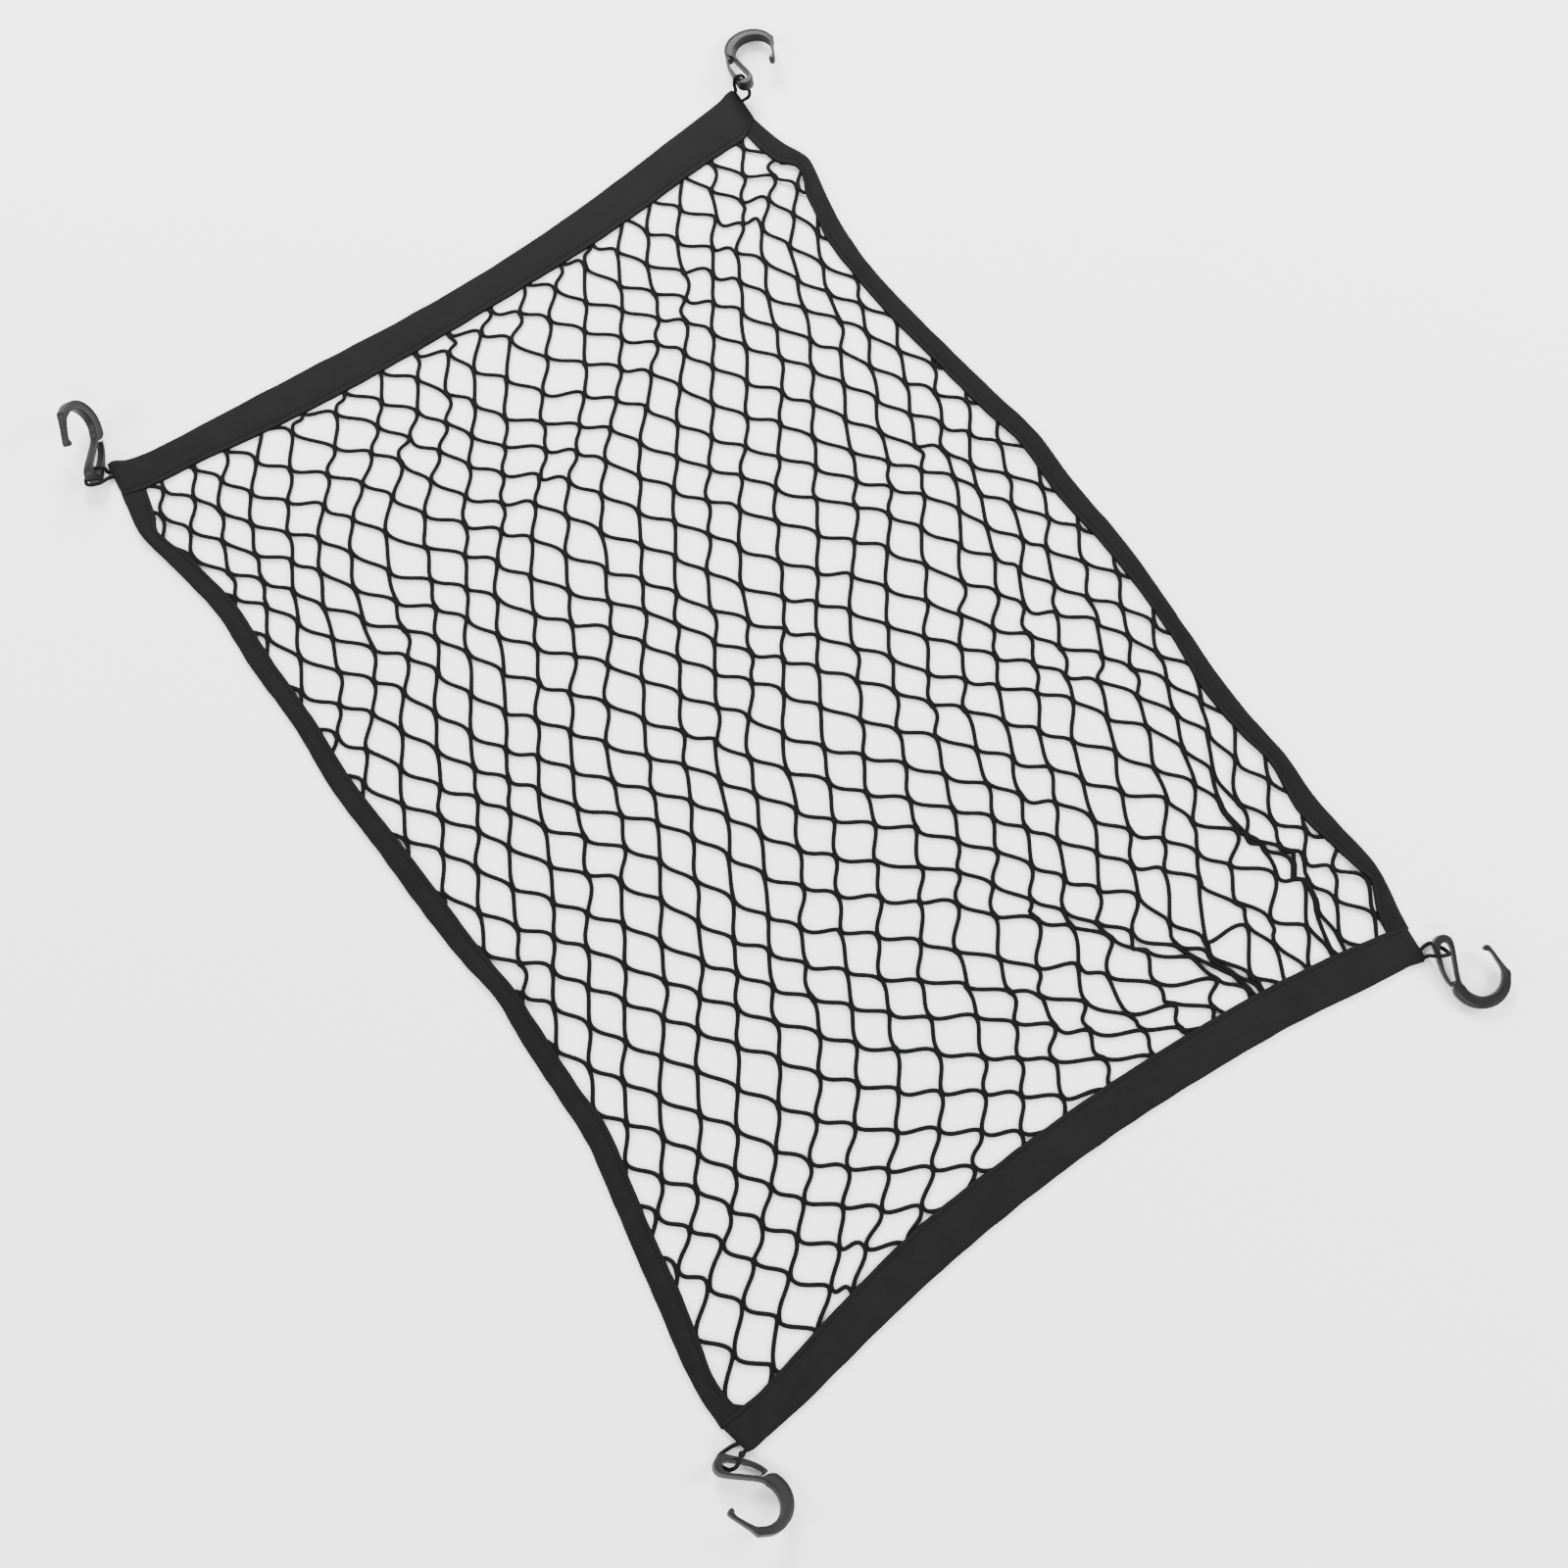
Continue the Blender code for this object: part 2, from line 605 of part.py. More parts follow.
def hook_mesh():
    """Ribbon of chamfered rectangular sections, lofted along the hook and capped."""
    bm = bmesh.new()
    sections = []
    for row in hook_rows():
        a = Vector((row.a_along, row.a_across, 0.0))
        b = Vector((row.b_along, row.b_across, 0.0))
        across = (b - a).normalized()
        edge = min(HOOK_EDGE, HOOK_EDGE_SHARE * (b - a).length)
        top, side = row.depth / 2, row.depth / 2 - edge
        corners = [(a, side), (a + across * edge, top), (b - across * edge, top), (b, side),
                   (b, -side), (b - across * edge, -top), (a + across * edge, -top), (a, -side)]
        section = [bm.verts.new((p.x * MM, p.y * MM, z * MM)) for p, z in corners]
        sections.append(section)
    loft_faces(bm, sections, closed=True)
    bm.faces.new(sections[0])
    bm.faces.new(sections[-1])
    bmesh.ops.recalc_face_normals(bm, faces=bm.faces)
    return mesh_from("snap_hook", bm)


def hook_matrix(pose, mesh):
    """Turn the hook as it lies and set its lowest point on the surface."""
    turn = (Matrix.Rotation(math.radians(pose.heading), 4, "Z")
            @ Matrix.Rotation(math.radians(pose.pitch), 4, "Y")
            @ Matrix.Rotation(math.radians(pose.roll), 4, "X"))
    lowest = min((turn @ v.co).z for v in mesh.vertices)
    return Matrix.Translation((pose.x * MM, pose.y * MM, -lowest)) @ turn


def build_hooks(collection, frame):
    """Four hooks that share one mesh; returns how each one is turned."""
    mesh = hook_mesh()
    turns = {corner: hook_matrix(pose, mesh) for corner, pose in HOOKS.items()}
    for corner, turn in turns.items():
        hook = add_object("hook_" + corner, mesh, "hook_plastic", collection, frame)
        hook.matrix_local = turn
    mesh.shade_smooth()
    mesh.set_sharp_from_angle(angle=math.radians(30.0))
    return turns


# ---------------------------------------------------------------- corner loops
def loop_route(route, turn):
    """Route of a corner loop in mm, its wraps turned with the hook."""
    wraps = [tuple(turn @ (Vector(point) * MM) / MM) for point in route.wraps]
    return route.leaves + wraps + route.returns


def route_points(route, spacing):
    """Evenly spaced points on a smooth curve through the route's own points."""
    def distances(points, power):
        steps = np.linalg.norm(np.diff(points, axis=0), axis=1) ** power
        return np.concatenate([[0.0], np.cumsum(steps)])

    reach = distances(np.array(route), 0.5)
    rows = [PathRow(along, *point) for along, point in zip(reach, route)]
    fine = np.linspace(0.0, reach[-1], CURVE_POINTS)
    curve = np.stack([smooth(rows, "along", axis, fine) for axis in "xyz"], axis=1)
    length = distances(curve, 1.0)
    even = np.linspace(0.0, length[-1], int(round(length[-1] / spacing)) + 1)
    return np.stack([np.interp(even, length, curve[:, i]) for i in range(3)], axis=1)


def build_loop(name, route, turn, collection, frame):
    """Elastic cord from the corner of the band through the eye and back."""
    points = route_points(loop_route(route, turn), CORD_STEP)
    curve = bpy.data.curves.new(name, "CURVE")
    curve.dimensions = "3D"
    curve.bevel_depth = CORD / 2 * MM
    curve.bevel_resolution = 2
    curve.use_fill_caps = True
    spline = curve.splines.new("POLY")
    spline.points.add(len(points) - 1)
    for point, place in zip(spline.points, points):
        point.co = (*(place * MM), 1.0)
    return add_object(name, curve, "loop_cord", collection, frame)


# ---------------------------------------------------------------- whole
def centre_on_origin(collection, frame):
    """Move the empty so that the origin is the bottom centre of all but the loops."""
    bpy.context.view_layer.update()
    places = np.array([obj.matrix_world @ v.co for obj in collection.objects
                       if obj.type == "MESH" for v in obj.data.vertices])
    middle = (places.min(axis=0) + places.max(axis=0)) / 2
    frame.location = (-middle[0], -middle[1], 0.0)


def main():
    clear_scene()
    collection = bpy.data.collections.new("cargo_net")
    bpy.context.scene.collection.children.link(collection)
    frame = bpy.data.objects.new("cargo_net_frame", None)
    collection.objects.link(frame)
    build_net(collection, frame)
    folded_strip("hem_band_left", hem_stations(HEM_LEFT), "hem_cloth", collection, frame)
    folded_strip("hem_band_right", hem_stations(HEM_RIGHT), "hem_cloth", collection, frame)
    folded_strip("edge_binding_far", binding_stations(BINDING_FAR), "binding_cloth",
                 collection, frame)
    folded_strip("edge_binding_near", binding_stations(BINDING_NEAR), "binding_cloth",
                 collection, frame)
    turns = build_hooks(collection, frame)
    for corner, route in LOOPS.items():
        build_loop("loop_" + corner, route, turns[corner], collection, frame)
    centre_on_origin(collection, frame)


main()
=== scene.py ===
"""Looks of a cargo net laid out flat: elastic net, folded hem bands and edge bindings,
corner loops and moulded snap hooks.

The tables are in millimetres about the middle of the net panel, as it lies seen from
above; PLAN_MIDDLE says where that middle is in the frame.  +X runs along the long edges,
+Y along the short ones and +Z up.  "left" is -X, "right" is +X, "near" is -Y and "far"
is +Y.  Every new surface is a ring of points carried along a line, worked out as arrays.
"""

import math
from collections import namedtuple

import bpy
import numpy as np
from bpy.props import FloatProperty, FloatVectorProperty, IntProperty, PointerProperty
from mathutils import Matrix, Vector
from numpy.linalg import norm


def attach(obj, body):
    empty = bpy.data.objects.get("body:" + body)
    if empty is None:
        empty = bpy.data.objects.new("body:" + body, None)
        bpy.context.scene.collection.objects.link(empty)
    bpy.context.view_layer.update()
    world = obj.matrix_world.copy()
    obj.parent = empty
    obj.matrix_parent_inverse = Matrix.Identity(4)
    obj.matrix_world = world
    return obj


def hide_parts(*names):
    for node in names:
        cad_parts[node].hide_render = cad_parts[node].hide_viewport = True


bl_info = {
    "name": "Cargo net looks",
    "version": (1, 0, 0),
    "blender": (4, 5, 0),
    "location": "View3D > Sidebar > Cargo net",
    "description": "Elastic cargo net with hem bands, bindings, corner loops and snap hooks",
    "category": "Object",
}

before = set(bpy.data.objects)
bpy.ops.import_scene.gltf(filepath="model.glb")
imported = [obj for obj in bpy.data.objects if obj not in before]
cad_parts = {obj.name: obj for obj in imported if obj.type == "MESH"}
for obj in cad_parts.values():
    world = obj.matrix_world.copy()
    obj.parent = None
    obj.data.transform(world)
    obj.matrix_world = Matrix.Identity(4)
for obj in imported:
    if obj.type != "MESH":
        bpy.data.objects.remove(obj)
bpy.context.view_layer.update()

MM = 0.001
PLAN_MIDDLE = np.array([-5.096, -7.643, 0.0])    # mm

# ---- outlines, mm
# Wide hem bands, a row for each section: across is Y, outer and inner are X, and skew is
# how much further along Y the inner end of the section lies.
HemRow = namedtuple("HemRow", "across outer inner skew", defaults=(0.0,))
HEM_LEFT = [HemRow(*row) for row in (
    (-308.8, -456.4, -424.8, -3), (-305.6, -457.2, -424.2, -2.5), (-294.6, -451.6, -421, -1.2),
    (-277.5, -447.4, -418.6), (-250, -445, -416.5), (-200, -442, -410), (-120, -437, -403),
    (-40, -432, -400.5), (40, -431, -400), (120, -435, -401), (180, -441, -405),
    (240, -448.6, -410.5), (264.2, -451.4, -411.3), (287.3, -454.8, -414.5),
    (297.4, -457.9, -421, -0.8), (300.6, -457.6, -423, -1.4), (303.1, -454.2, -424.2, -1.8),
)]
HEM_RIGHT = [HemRow(*row) for row in (
    (-307.8, 456.2, 430.2, -6.6), (-304.2, 457, 429.6, -5), (-292.5, 455.9, 428.8, -2),
    (-278, 454.8, 427.6, -0.5), (-260, 453, 424.2), (-227, 448.2, 417.3), (-200, 444, 412),
    (-120, 434, 399.5), (-40, 429, 396), (40, 428.5, 396), (120, 433, 400), (200, 441, 408),
    (260, 451, 418), (284.4, 454.4, 423.5, 1), (291.8, 455.4, 425.5, 1.6),
    (301.1, 458.2, 428.2, 2.6), (303.6, 458.8, 429, 3.2), (306.1, 457, 429.6, 3.7),
)]
# Narrow bindings: along is X, outer and inner are Y, lift is how far a pucker stands up.
BindingRow = namedtuple("BindingRow", "along outer inner lift", defaults=(0.0,))
BINDING_FAR = [BindingRow(*row) for row in (
    (-425, 301.2, 284.5), (-408, 303.6, 287, 0.2), (-388, 308.5, 290, 0.7),
    (-375, 314, 294.8, 1.3), (-366, 316.2, 303, 1.6), (-356, 315.6, 303, 1.4),
    (-342, 312.5, 296.5, 0.9), (-318, 307, 291, 0.3), (-300, 304, 286.5), (-255, 301, 285),
    (-210, 304, 287), (-150, 311, 294), (-90, 319, 301, 0.5), (-60, 323.5, 306.5, 1),
    (0, 323, 305), (60, 325, 309, 0.5), (150, 320, 306, 0.5), (195, 317, 300),
    (240, 317, 301, 0.5), (270, 319, 305, 1.2), (315, 317, 299), (360, 320, 305, 0.8),
    (377, 321, 307.8, 1.4), (388, 320, 310, 1.6), (398, 318, 305, 1.2), (407, 316, 299.8, 0.8),
    (420, 312.8, 295.5, 0.3), (432, 311, 293.5),
)]
BINDING_NEAR = [BindingRow(*row) for row in (
    (-428, -312, -292.5), (-410, -314.6, -295.5, 0.5), (-396, -316.5, -298.8, 0.8),
    (-383, -316.5, -303.8, 1), (-372, -314.5, -301.3, 0.8), (-350, -309.8, -294, 0.3),
    (-330, -306, -290), (-300, -301, -284.5), (-240, -301, -284), (-180, -298, -282),
    (-120, -300, -283), (-60, -296, -278.5, 0.5), (0, -293, -274.5), (50, -288.5, -271.5),
    (90, -282.5, -267, 1.2), (120, -284, -267, 0.5), (180, -284, -267), (210, -284, -265.5),
    (255, -291, -273), (300, -299, -281), (345, -306.5, -287.5), (379, -312.5, -294.7, 0.3),
    (403, -315, -299.4, 0.5), (420, -315.2, -298.6, 0.2), (434, -314.4, -296),
)]

# ---- net, mm
# Where the joins of the net lie.  They are counted in half diamonds from the middle one:
# columns along X and rows along Y.  Each table row has its row number and then a value for
# each of the columns read: Y in the first table, X in the second.
COLUMNS_READ = (-17, -11, -5, 1, 7, 13, 18)
JOIN_HEIGHTS = [
    (-17, -301, -280, -278, -270, -263, -278, -304),
    (-11, -211, -197, -186, -180, -172, -175, -178),
    (-5, -100, -100, -92, -82, -76, -57, -36),
    (1, 0, 4, 6, 12, 27, 52, 87),
    (7, 107, 108, 108, 113, 130, 143, 164),
    (13, 207, 204, 208, 214, 223, 232, 231),
    (19, 295, 282, 294, 302, 302, 297, 299),
]
JOIN_PLACES = [
    (-17, -416, -278, -128, 22, 169, 308, 420),
    (-8, -409, -275, -128, 21, 172, 316, 408),
    (1, -399, -270, -132, 17, 163, 298, 399),
    (10, -407, -275, -128, 13, 153, 296, 409),
    (19, -412, -276, -128, 9, 154, 303, 414),
]
FIRST_COLUMN, LAST_COLUMN = -20, 22
FIRST_ROW, LAST_ROW = -21, 24

# Where the net lies slack: the joins wander more there.  Column and row are its middle.
SlackRow = namedtuple("SlackRow", "column row reach wander")
SLACK = [SlackRow(*row) for row in (
    (16, 6, 5, 4), (13, 12, 5, 3), (12, 0, 4, 2.5), (-15, 17, 3, 3.5), (-16, 0, 3, 2),
    (3, 15, 4, 2),
)]
# How much of a slack place's wander its joins share, and how much each has for itself.
SHARED_SLACK, OWN_SLACK = 0.4, 0.55
# Joins: their lean from the line of the columns and the spread of their own angles, in
# radians, and how much further slack turns them, for each mm of wander.
JOIN_LEAN, JOIN_TURN, SLACK_TURN = -0.14, 0.13, 0.25
PULL_RANGE = (0.7, 1.3)    # how far the yarn runs on along a join, as a share
BOW_SPREAD = 1.1    # how far the yarn bows out between joins

# Creases where the net is gathered: from one end to the other, how much of the distance
# across is taken up, and how far from the crease.
CreaseRow = namedtuple("CreaseRow", "x y end_x end_y squeeze reach")
CREASES = [CreaseRow(*row) for row in (
    (224, 70, 288, 112, 0.75, 20), (300, 122, 345, 158, 0.9, 25), (360, 168, 404, 190, 0.9, 24),
    (320, 74, 396, 112, 0.6, 14), (251, 260, 302, 252, 0.65, 18), (312, 257, 352, 272, 0.85, 22),
    (364, 268, 415, 252, 0.85, 20), (362, 216, 414, 228, 0.6, 13), (-60, 250, 30, 232, 0.5, 15),
    (60, 224, 130, 216, 0.6, 16), (-405, 236, -330, 214, 0.6, 12), (-412, 228, -405, 256, 0.7, 17),
    (-396, -52, -384, 8, 0.8, 20), (-405, -166, -400, -130, 0.75, 18),
    (-392, 96, -388, 124, 0.6, 17), (384, -172, 412, -206, 0.7, 18),
)]
# One strand: how far it lies beside the middle of its join, by its width; how long the
# curve's handles are, by the distance and the slack; and how much they follow the join.
BESIDE_JOIN = 0.27
BY_DISTANCE, BY_SLACK, MOST_SLACK = 0.3, 0.6, 12.0
ALONG_JOIN = 0.72
SLACK_BOW = 0.3    # how much further slack yarn bows out, for each mm
YARN_SIDES = 6
# Which flank's rib each point of the yarn's ring follows, and its share of it.
RIB_SHARES = ((0, 1.0), (0, 0.5), (1, 0.5), (1, 1.2), (1, 0.7), (0, 0.6))
FLANK_RIB, FLANK_WAVE = 0.55, (0.45, 34.0)    # mean share of the rib; slow wave of it
GRIP = 6.0    # how far the yarn goes into a folded edge
PRESS_REACH = 5.0    # before the edge, over which the yarn is pressed flat
PRESSED_FLAT, PRESSED_RIB = 0.55, 0.6    # what the pressed yarn loses of its height and rib
RIDE_UP, RIDE_PERIOD = 0.35, 41.0    # how far the yarn rises off the floor here and there
SHORTEST_STRETCH = 12    # points
PUCKER_REACH = 30.0    # from a binding, over which its pucker lifts the net

# ---- folded cloth, mm
# Top layer, from its inner edge to the fold: points drawn for stitches 4 mm in, then
# shares of the rest and how far they stand up.  The fold's half circle, in degrees.
DRAWN_INSET = 4.0
TOP_PLACES = np.array([0.0, 0.5, 1.6, 2.8, 3.4, 4.0, 4.6, 5.4, 7.0])
BODY_SHARES = np.array([0.85, 0.65, 0.45, 0.25, 0.1])
BODY_CROWN = np.array([0.15, 0.3, 0.3, 0.2, 0.08])
FOLD_TURN = np.radians([90.0, 55.0, 20.0, -20.0, -55.0, -90.0])
SEAM_SINK, SEAM_SPREAD = 0.45, 0.8    # groove of the stitches
EDGE_SINK, EDGE_SPREAD = 0.12, 0.5    # rounding of the inner edge
CLOTH_EDGE = 0.3    # cut edge between the skins, for the UV
# Slow waves, each with its height and period: of the top layer, and of a plan line.
SLOW_HEAVE, QUICK_HEAVE = (0.22, 70.0), (0.12, 19.0)
HEM_RIPPLE, BINDING_RIPPLE = (0.3, 31.0), (0.25, 27.0)
# How much a strip is pressed at its ends, and over how far.
HEM_END_PRESS, HEM_END_REACH = 0.25, 4.0
BINDING_END_PRESS, BINDING_END_REACH = 0.62, 12.0
OPEN_PRESS = 0.02    # a binding that is pressed less is outside the hem band
HEM_STEP, BINDING_POINTS = 1.5, 345    # spacing and number of the sections
TUCK, TUCK_GAP = 2.5, 0.1    # how far a binding goes under a hem band, and its gap there
THREAD, THREAD_SIDES, STITCH_POINTS = 0.55, 6, 6
STITCH_SEAT = 0.42    # how far the stitches start below a flat top
STITCH_RISE, STITCH_SINK = 0.3, 0.12
SEAM_MARGIN = 3.0    # at both ends of a row of stitches

# ---- snap hooks, mm
# Along runs from the eye's centre down the shank, across towards the finger.  A ribbon of
# plastic with the edges a and b runs from the tip of the spring gate round the eye, down
# the shank, round the bow and up the finger.  Groove is the depth of its sunk faces.
HookRow = namedtuple("HookRow", "a_along a_across b_along b_across depth groove", defaults=(0.0,))
HOOK_GATE = [HookRow(*row) for row in (
    (32.1, 0.9, 31.3, 2, 5.8), (31.5, 0.5, 29.5, 2.9, 6.2), (30.8, 0.1, 27.8, 4.2, 6.2),
    (29.5, -0.8, 28.4, 1.4, 6.2), (26.7, -2.2, 25.6, -0.2, 6.6), (20.2, -4.3, 19.4, -2.2, 7.2),
    (11.5, -5.8, 11.2, -3, 8), (4.5, -6.6, 4.6, -3.4, 8.8),
)]
HOOK_SHANK = [HookRow(*row) for row in (
    (4, 7.5, 4, 5.4, 8.8), (15, 7.6, 15, 5.6, 8.2), (24, 7.7, 24.5, 5.6, 7.8),
    (28.5, 8.2, 28.2, 5.6, 7.6, 0.1), (30.6, 8.9, 31.9, 3.4, 7.6, 0.5),
)]
HOOK_FINGER = [HookRow(*row) for row in (
    (24.4, 39.7, 26.1, 45.4, 7.2, 0.5), (20.5, 38.5, 21.8, 42.5, 7, 0.1),
    (15.7, 36.4, 15, 38.8, 6.6), (10.5, 33.9, 9.2, 35.8, 6.4), (8.9, 32.2, 6.3, 34.2, 6.4),
    (8.6, 30.6, 4.3, 32.3, 6.8), (7.8, 29.3, 4.4, 30.4, 6.4), (7, 28.8, 5.3, 29.3, 5.2),
)]
# Where both edges are arcs: first and last angle, sections, and each arc's centre and radius.
HookArc = namedtuple("HookArc", "first last count a_centre a_radius b_centre b_radius depth groove")
HOOK_EYE = HookArc(262.0, 95.0, 9, (0.0, 0.0), 7.1, (2.9, 0.9), 4.0, 9.0, 0.0)
HOOK_BOW = HookArc(-68.0, 86.0, 12, (26.5, 24.3), 15.2, (28.9, 22.9), 22.0, 7.6, 0.6)
HOOK_RINGS, USUAL_RING = 170, 60    # the usual ring is the one measured for the UV
# Section: the widest edge and rim as shares of the ribbon's width, the run of the slope
# down to the sunk face by the groove's depth and the width, and that of the first flat.
WIDEST_EDGE, WIDEST_RIM = 0.34, 0.1
SLOPE_BY_DEPTH, SLOPE_BY_WIDTH = 0.6, 0.02
FLAT_RUN = 0.35
EDGE_TURN = np.radians([90.0, 60.0, 30.0, 0.0])

# How each hook lies: the eye's centre, heading of the shank from +X, pitch, roll, degrees.
HookPose = namedtuple("HookPose", "x y z heading pitch roll")
HOOKS = {
    "left_far": HookPose(-449.7, 309.7, 16.14, 178.4, 14.6, 179.6),
    "left_near": HookPose(-450.5, -320.9, 10.01, 145.0, 14.5, 66.2),
    "right_near": HookPose(453.0, -326.4, 10.21, 48.7, 13.0, 153.8),
    "right_far": HookPose(455.9, 320.7, 8.78, -27.9, 7.0, 3.5),
}
# Corner loops: where the cord leaves the corner of the hem band, the points that it
# passes in the axes of the hook, and where it returns to the corner.
LoopRoute = namedtuple("LoopRoute", "leaves wraps returns")
LOOPS = {
    "left_far": LoopRoute(
        [(-453.3, 298.9, 1.6), (-453.8, 300.9, 2.1)],
        [(6.9, -7.3, 10.4), (5.9, -7.7, 7), (5, -8.3, 2.6), (4.2, -8.2, -1.2),
         (3.3, -7.4, -4.6), (2.2, -5.2, -6.6), (1.6, -2.6, -6.4), (1.5, -0.4, -4.2),
         (1.6, 0.6, 0), (0.4, 0.7, 4.2), (-2.6, 0.3, 6.8), (-5.8, -0.6, 7.4),
         (-7.2, -2.2, 9.6)],
        [(-441.9, 305.6, 4.9), (-443.2, 303.4, 2.6), (-443.8, 301.6, 1.8)]),
    "left_near": LoopRoute(
        [(-449.6, -307.8, 1.7), (-449.7, -310.5, 2), (-449.8, -311.7, 2.8)],
        [(6, -4.6, 6.6), (5.4, -1.4, 5.4), (4.4, 0.7, 2.4), (2.9, 0.9, -2), (1, 0.5, -6.4),
         (-3, 0, -7), (-8.2, -0.6, -5.9), (-10, -1.4, -1.8), (-9.6, -2.4, 2),
         (-8.2, -3.8, 5.6), (-5, -5.6, 7)],
        [(-444.6, -312.6, 2.6), (-444.4, -310.6, 2), (-444.3, -308, 1.7)]),
    "right_near": LoopRoute(
        [(447.6, -308.6, 1.7), (447, -312.4, 2), (446.4, -315.8, 2.4)],
        [(-2, -7.8, 6.2), (-1.4, -4.4, 6.5), (0.8, -1.6, 6.2), (3, 0.6, 4), (5.4, 2.2, 0.5),
         (8, 2, -4), (9.8, -0.6, -6.4), (10.6, -4.4, -6.6), (11.6, -8.2, -4.6)],
        [(455.9, -311.8, 3.2), (454.6, -309.6, 2.1), (454, -306.6, 1.7)]),
    "right_far": LoopRoute(
        [(450.4, 305.2, 1.7), (450, 308.8, 2), (449.6, 312.2, 2.2)],
        [(-1.8, -6.8, -6.3), (0.2, -3, -6.6), (3, 0.6, -4), (5.8, 2.2, 0.5), (8, 2, 4.6),
         (8.6, -2, 6.8), (8.4, -6, 6.5), (7.8, -9.2, 2)],
        [(457.4, 309.2, 3.2), (456.6, 307.2, 2.1), (455.9, 304.6, 1.7)]),
}
SEWN_IN, SEWN_HEIGHT = 3.0, 1.6    # how far the cord's ends go on, and how high they lie
FLAT_END, FLAT_END_REACH = 0.6, 4.0    # share of the height at the ends, and over how far
CORD_SIDES, LOOP_POINTS = 12, 600


# ---- settings
def metres(name, default, description):
    return FloatProperty(name=name, description=description, default=default, unit="LENGTH")


def degrees(name, default, description):
    return FloatProperty(name=name, description=description, default=math.radians(default),
                         subtype="ANGLE")


def tint(name, default, description):
    return FloatVectorProperty(name=name, description=description, subtype="COLOR", size=3,
                               default=default)


class YarnSettings(bpy.types.PropertyGroup):
    """Elastic yarn of the net."""

    width: metres("Width", 0.0035, "Yarn seen from above")
    height: metres("Height", 0.0025, "Yarn seen from the side")
    rib: metres("Rib", 0.00028, "How far a knitted rib stands out at the side")
    rib_pitch: metres("Rib pitch", 0.0015, "From one rib to the next")
    mesh_side: metres("Mesh side", 0.0255, "Yarn from one join to the next")
    row_pitch: metres("Row pitch", 0.0159, "From one row of joins to the next")
    join_length: metres("Join length", 0.0022, "Two yarns fused side by side")
    drift: metres("Drift", 0.0026, "How far groups of joins lie off the lattice")
    wander: metres("Wander", 0.0008, "How far each join lies off its group")
    seed: IntProperty(name="Seed", description="Start of the random wander", default=5)
    colour: tint("Colour", (0.003, 0.003, 0.0031), "Yarn colour")


class ClothSettings(bpy.types.PropertyGroup):
    """Woven cloth of the hem bands and bindings."""

    thickness: metres("Thickness", 0.0008, "One layer of cloth")
    slot: metres("Slot", 0.0014, "Room for the net between the layers")
    seam_inset: metres("Seam inset", 0.004, "Stitches from the inner edge")
    stitch: metres("Stitch", 0.0028, "Length of one stitch")
    stitch_gap: metres("Stitch gap", 0.0012, "Between two stitches")
    weave_pitch: metres("Weave pitch", 0.0009, "Pitch of the woven threads")
    hem_colour: tint("Hem colour", (0.0052, 0.0052, 0.0054), "Hem bands")
    binding_colour: tint("Binding colour", (0.0046, 0.0046, 0.0048), "Bindings")


class HookSettings(bpy.types.PropertyGroup):
    """Moulded snap hooks and the cord loops that hold them."""

    edge: metres("Edge radius", 0.0009, "Rounding of the hook's edges")
    rim: metres("Rim", 0.0009, "Rim beside the sunk faces of the bow")
    cord: metres("Cord diameter", 0.0031, "Cord of the corner loops")
    cord_step: metres("Cord step", 0.0007, "Between the rings of a cord")
    plastic_colour: tint("Plastic colour", (0.0065, 0.0065, 0.0068), "Snap hooks")
    cord_colour: tint("Cord colour", (0.005, 0.005, 0.0052), "Corner loops")


class StageSettings(bpy.types.PropertyGroup):
    """Camera, floor and light."""

    heading: degrees("Heading", 55.32, "Turn of the camera about Z")
    elevation: degrees("Elevation", 75.0, "Camera above the horizon")
    distance: metres("Distance", 1.3937, "Camera from the place it looks at")
    lens: FloatProperty(name="Lens", description="Focal length in mm on a 36 mm sensor",
                        default=41.625)
    floor_colour: tint("Floor colour", (0.95, 0.95, 0.95), "Pale floor")


# ---- curves through tables
def through(knots, values, at):
    """A cubic through the knots, with each knot's slope taken from the parabola through
    it and its neighbours, and straight beyond the ends.  Values may have more axes."""
    knots, values, at = (np.asarray(a, dtype=float) for a in (knots, values, at))
    more = (1,) * (values.ndim - 1)
    step = np.diff(knots).reshape(-1, *more)
    slope = np.diff(values, axis=0) / step
    inner = (slope[:-1] * step[1:] + slope[1:] * step[:-1]) / (step[1:] + step[:-1])
    tangent = np.concatenate([slope[:1], inner, slope[-1:]])
    i = np.clip(np.searchsorted(knots, at) - 1, 0, len(knots) - 2)
    t = ((at - knots[i]) / (knots[i + 1] - knots[i])).reshape(at.shape + more)
    inside = np.clip(t, 0.0, 1.0)
    h = step[i]
    cubic = ((2 * inside**3 - 3 * inside**2 + 1) * values[i]
             + (inside**3 - 2 * inside**2 + inside) * h * tangent[i]
             + (3 * inside**2 - 2 * inside**3) * values[i + 1]
             + (inside**3 - inside**2) * h * tangent[i + 1])
    return cubic + (t - inside) * h * np.where(t > inside, tangent[-1], tangent[0])


def from_table(rows, name, at):
    """One column of a table, as a curve over the table's first column."""
    return through([row[0] for row in rows], [getattr(row, name) for row in rows], at)


def along_places(places, values, count):
    """The values at even steps of a curve whose knots lie apart by the root of the distance
    between the places."""
    steps = norm(np.diff(places, axis=0), axis=1)
    knots = np.concatenate([[0.0], np.cumsum(steps ** 0.5)])
    return through(knots, values, np.linspace(0.0, knots[-1], count))


def eased(share):
    """0 to 1 with a soft start and end: 3t^2 - 2t^3 of the clipped share."""
    share = np.clip(share, 0.0, 1.0)
    return share * share * (3 - 2 * share)


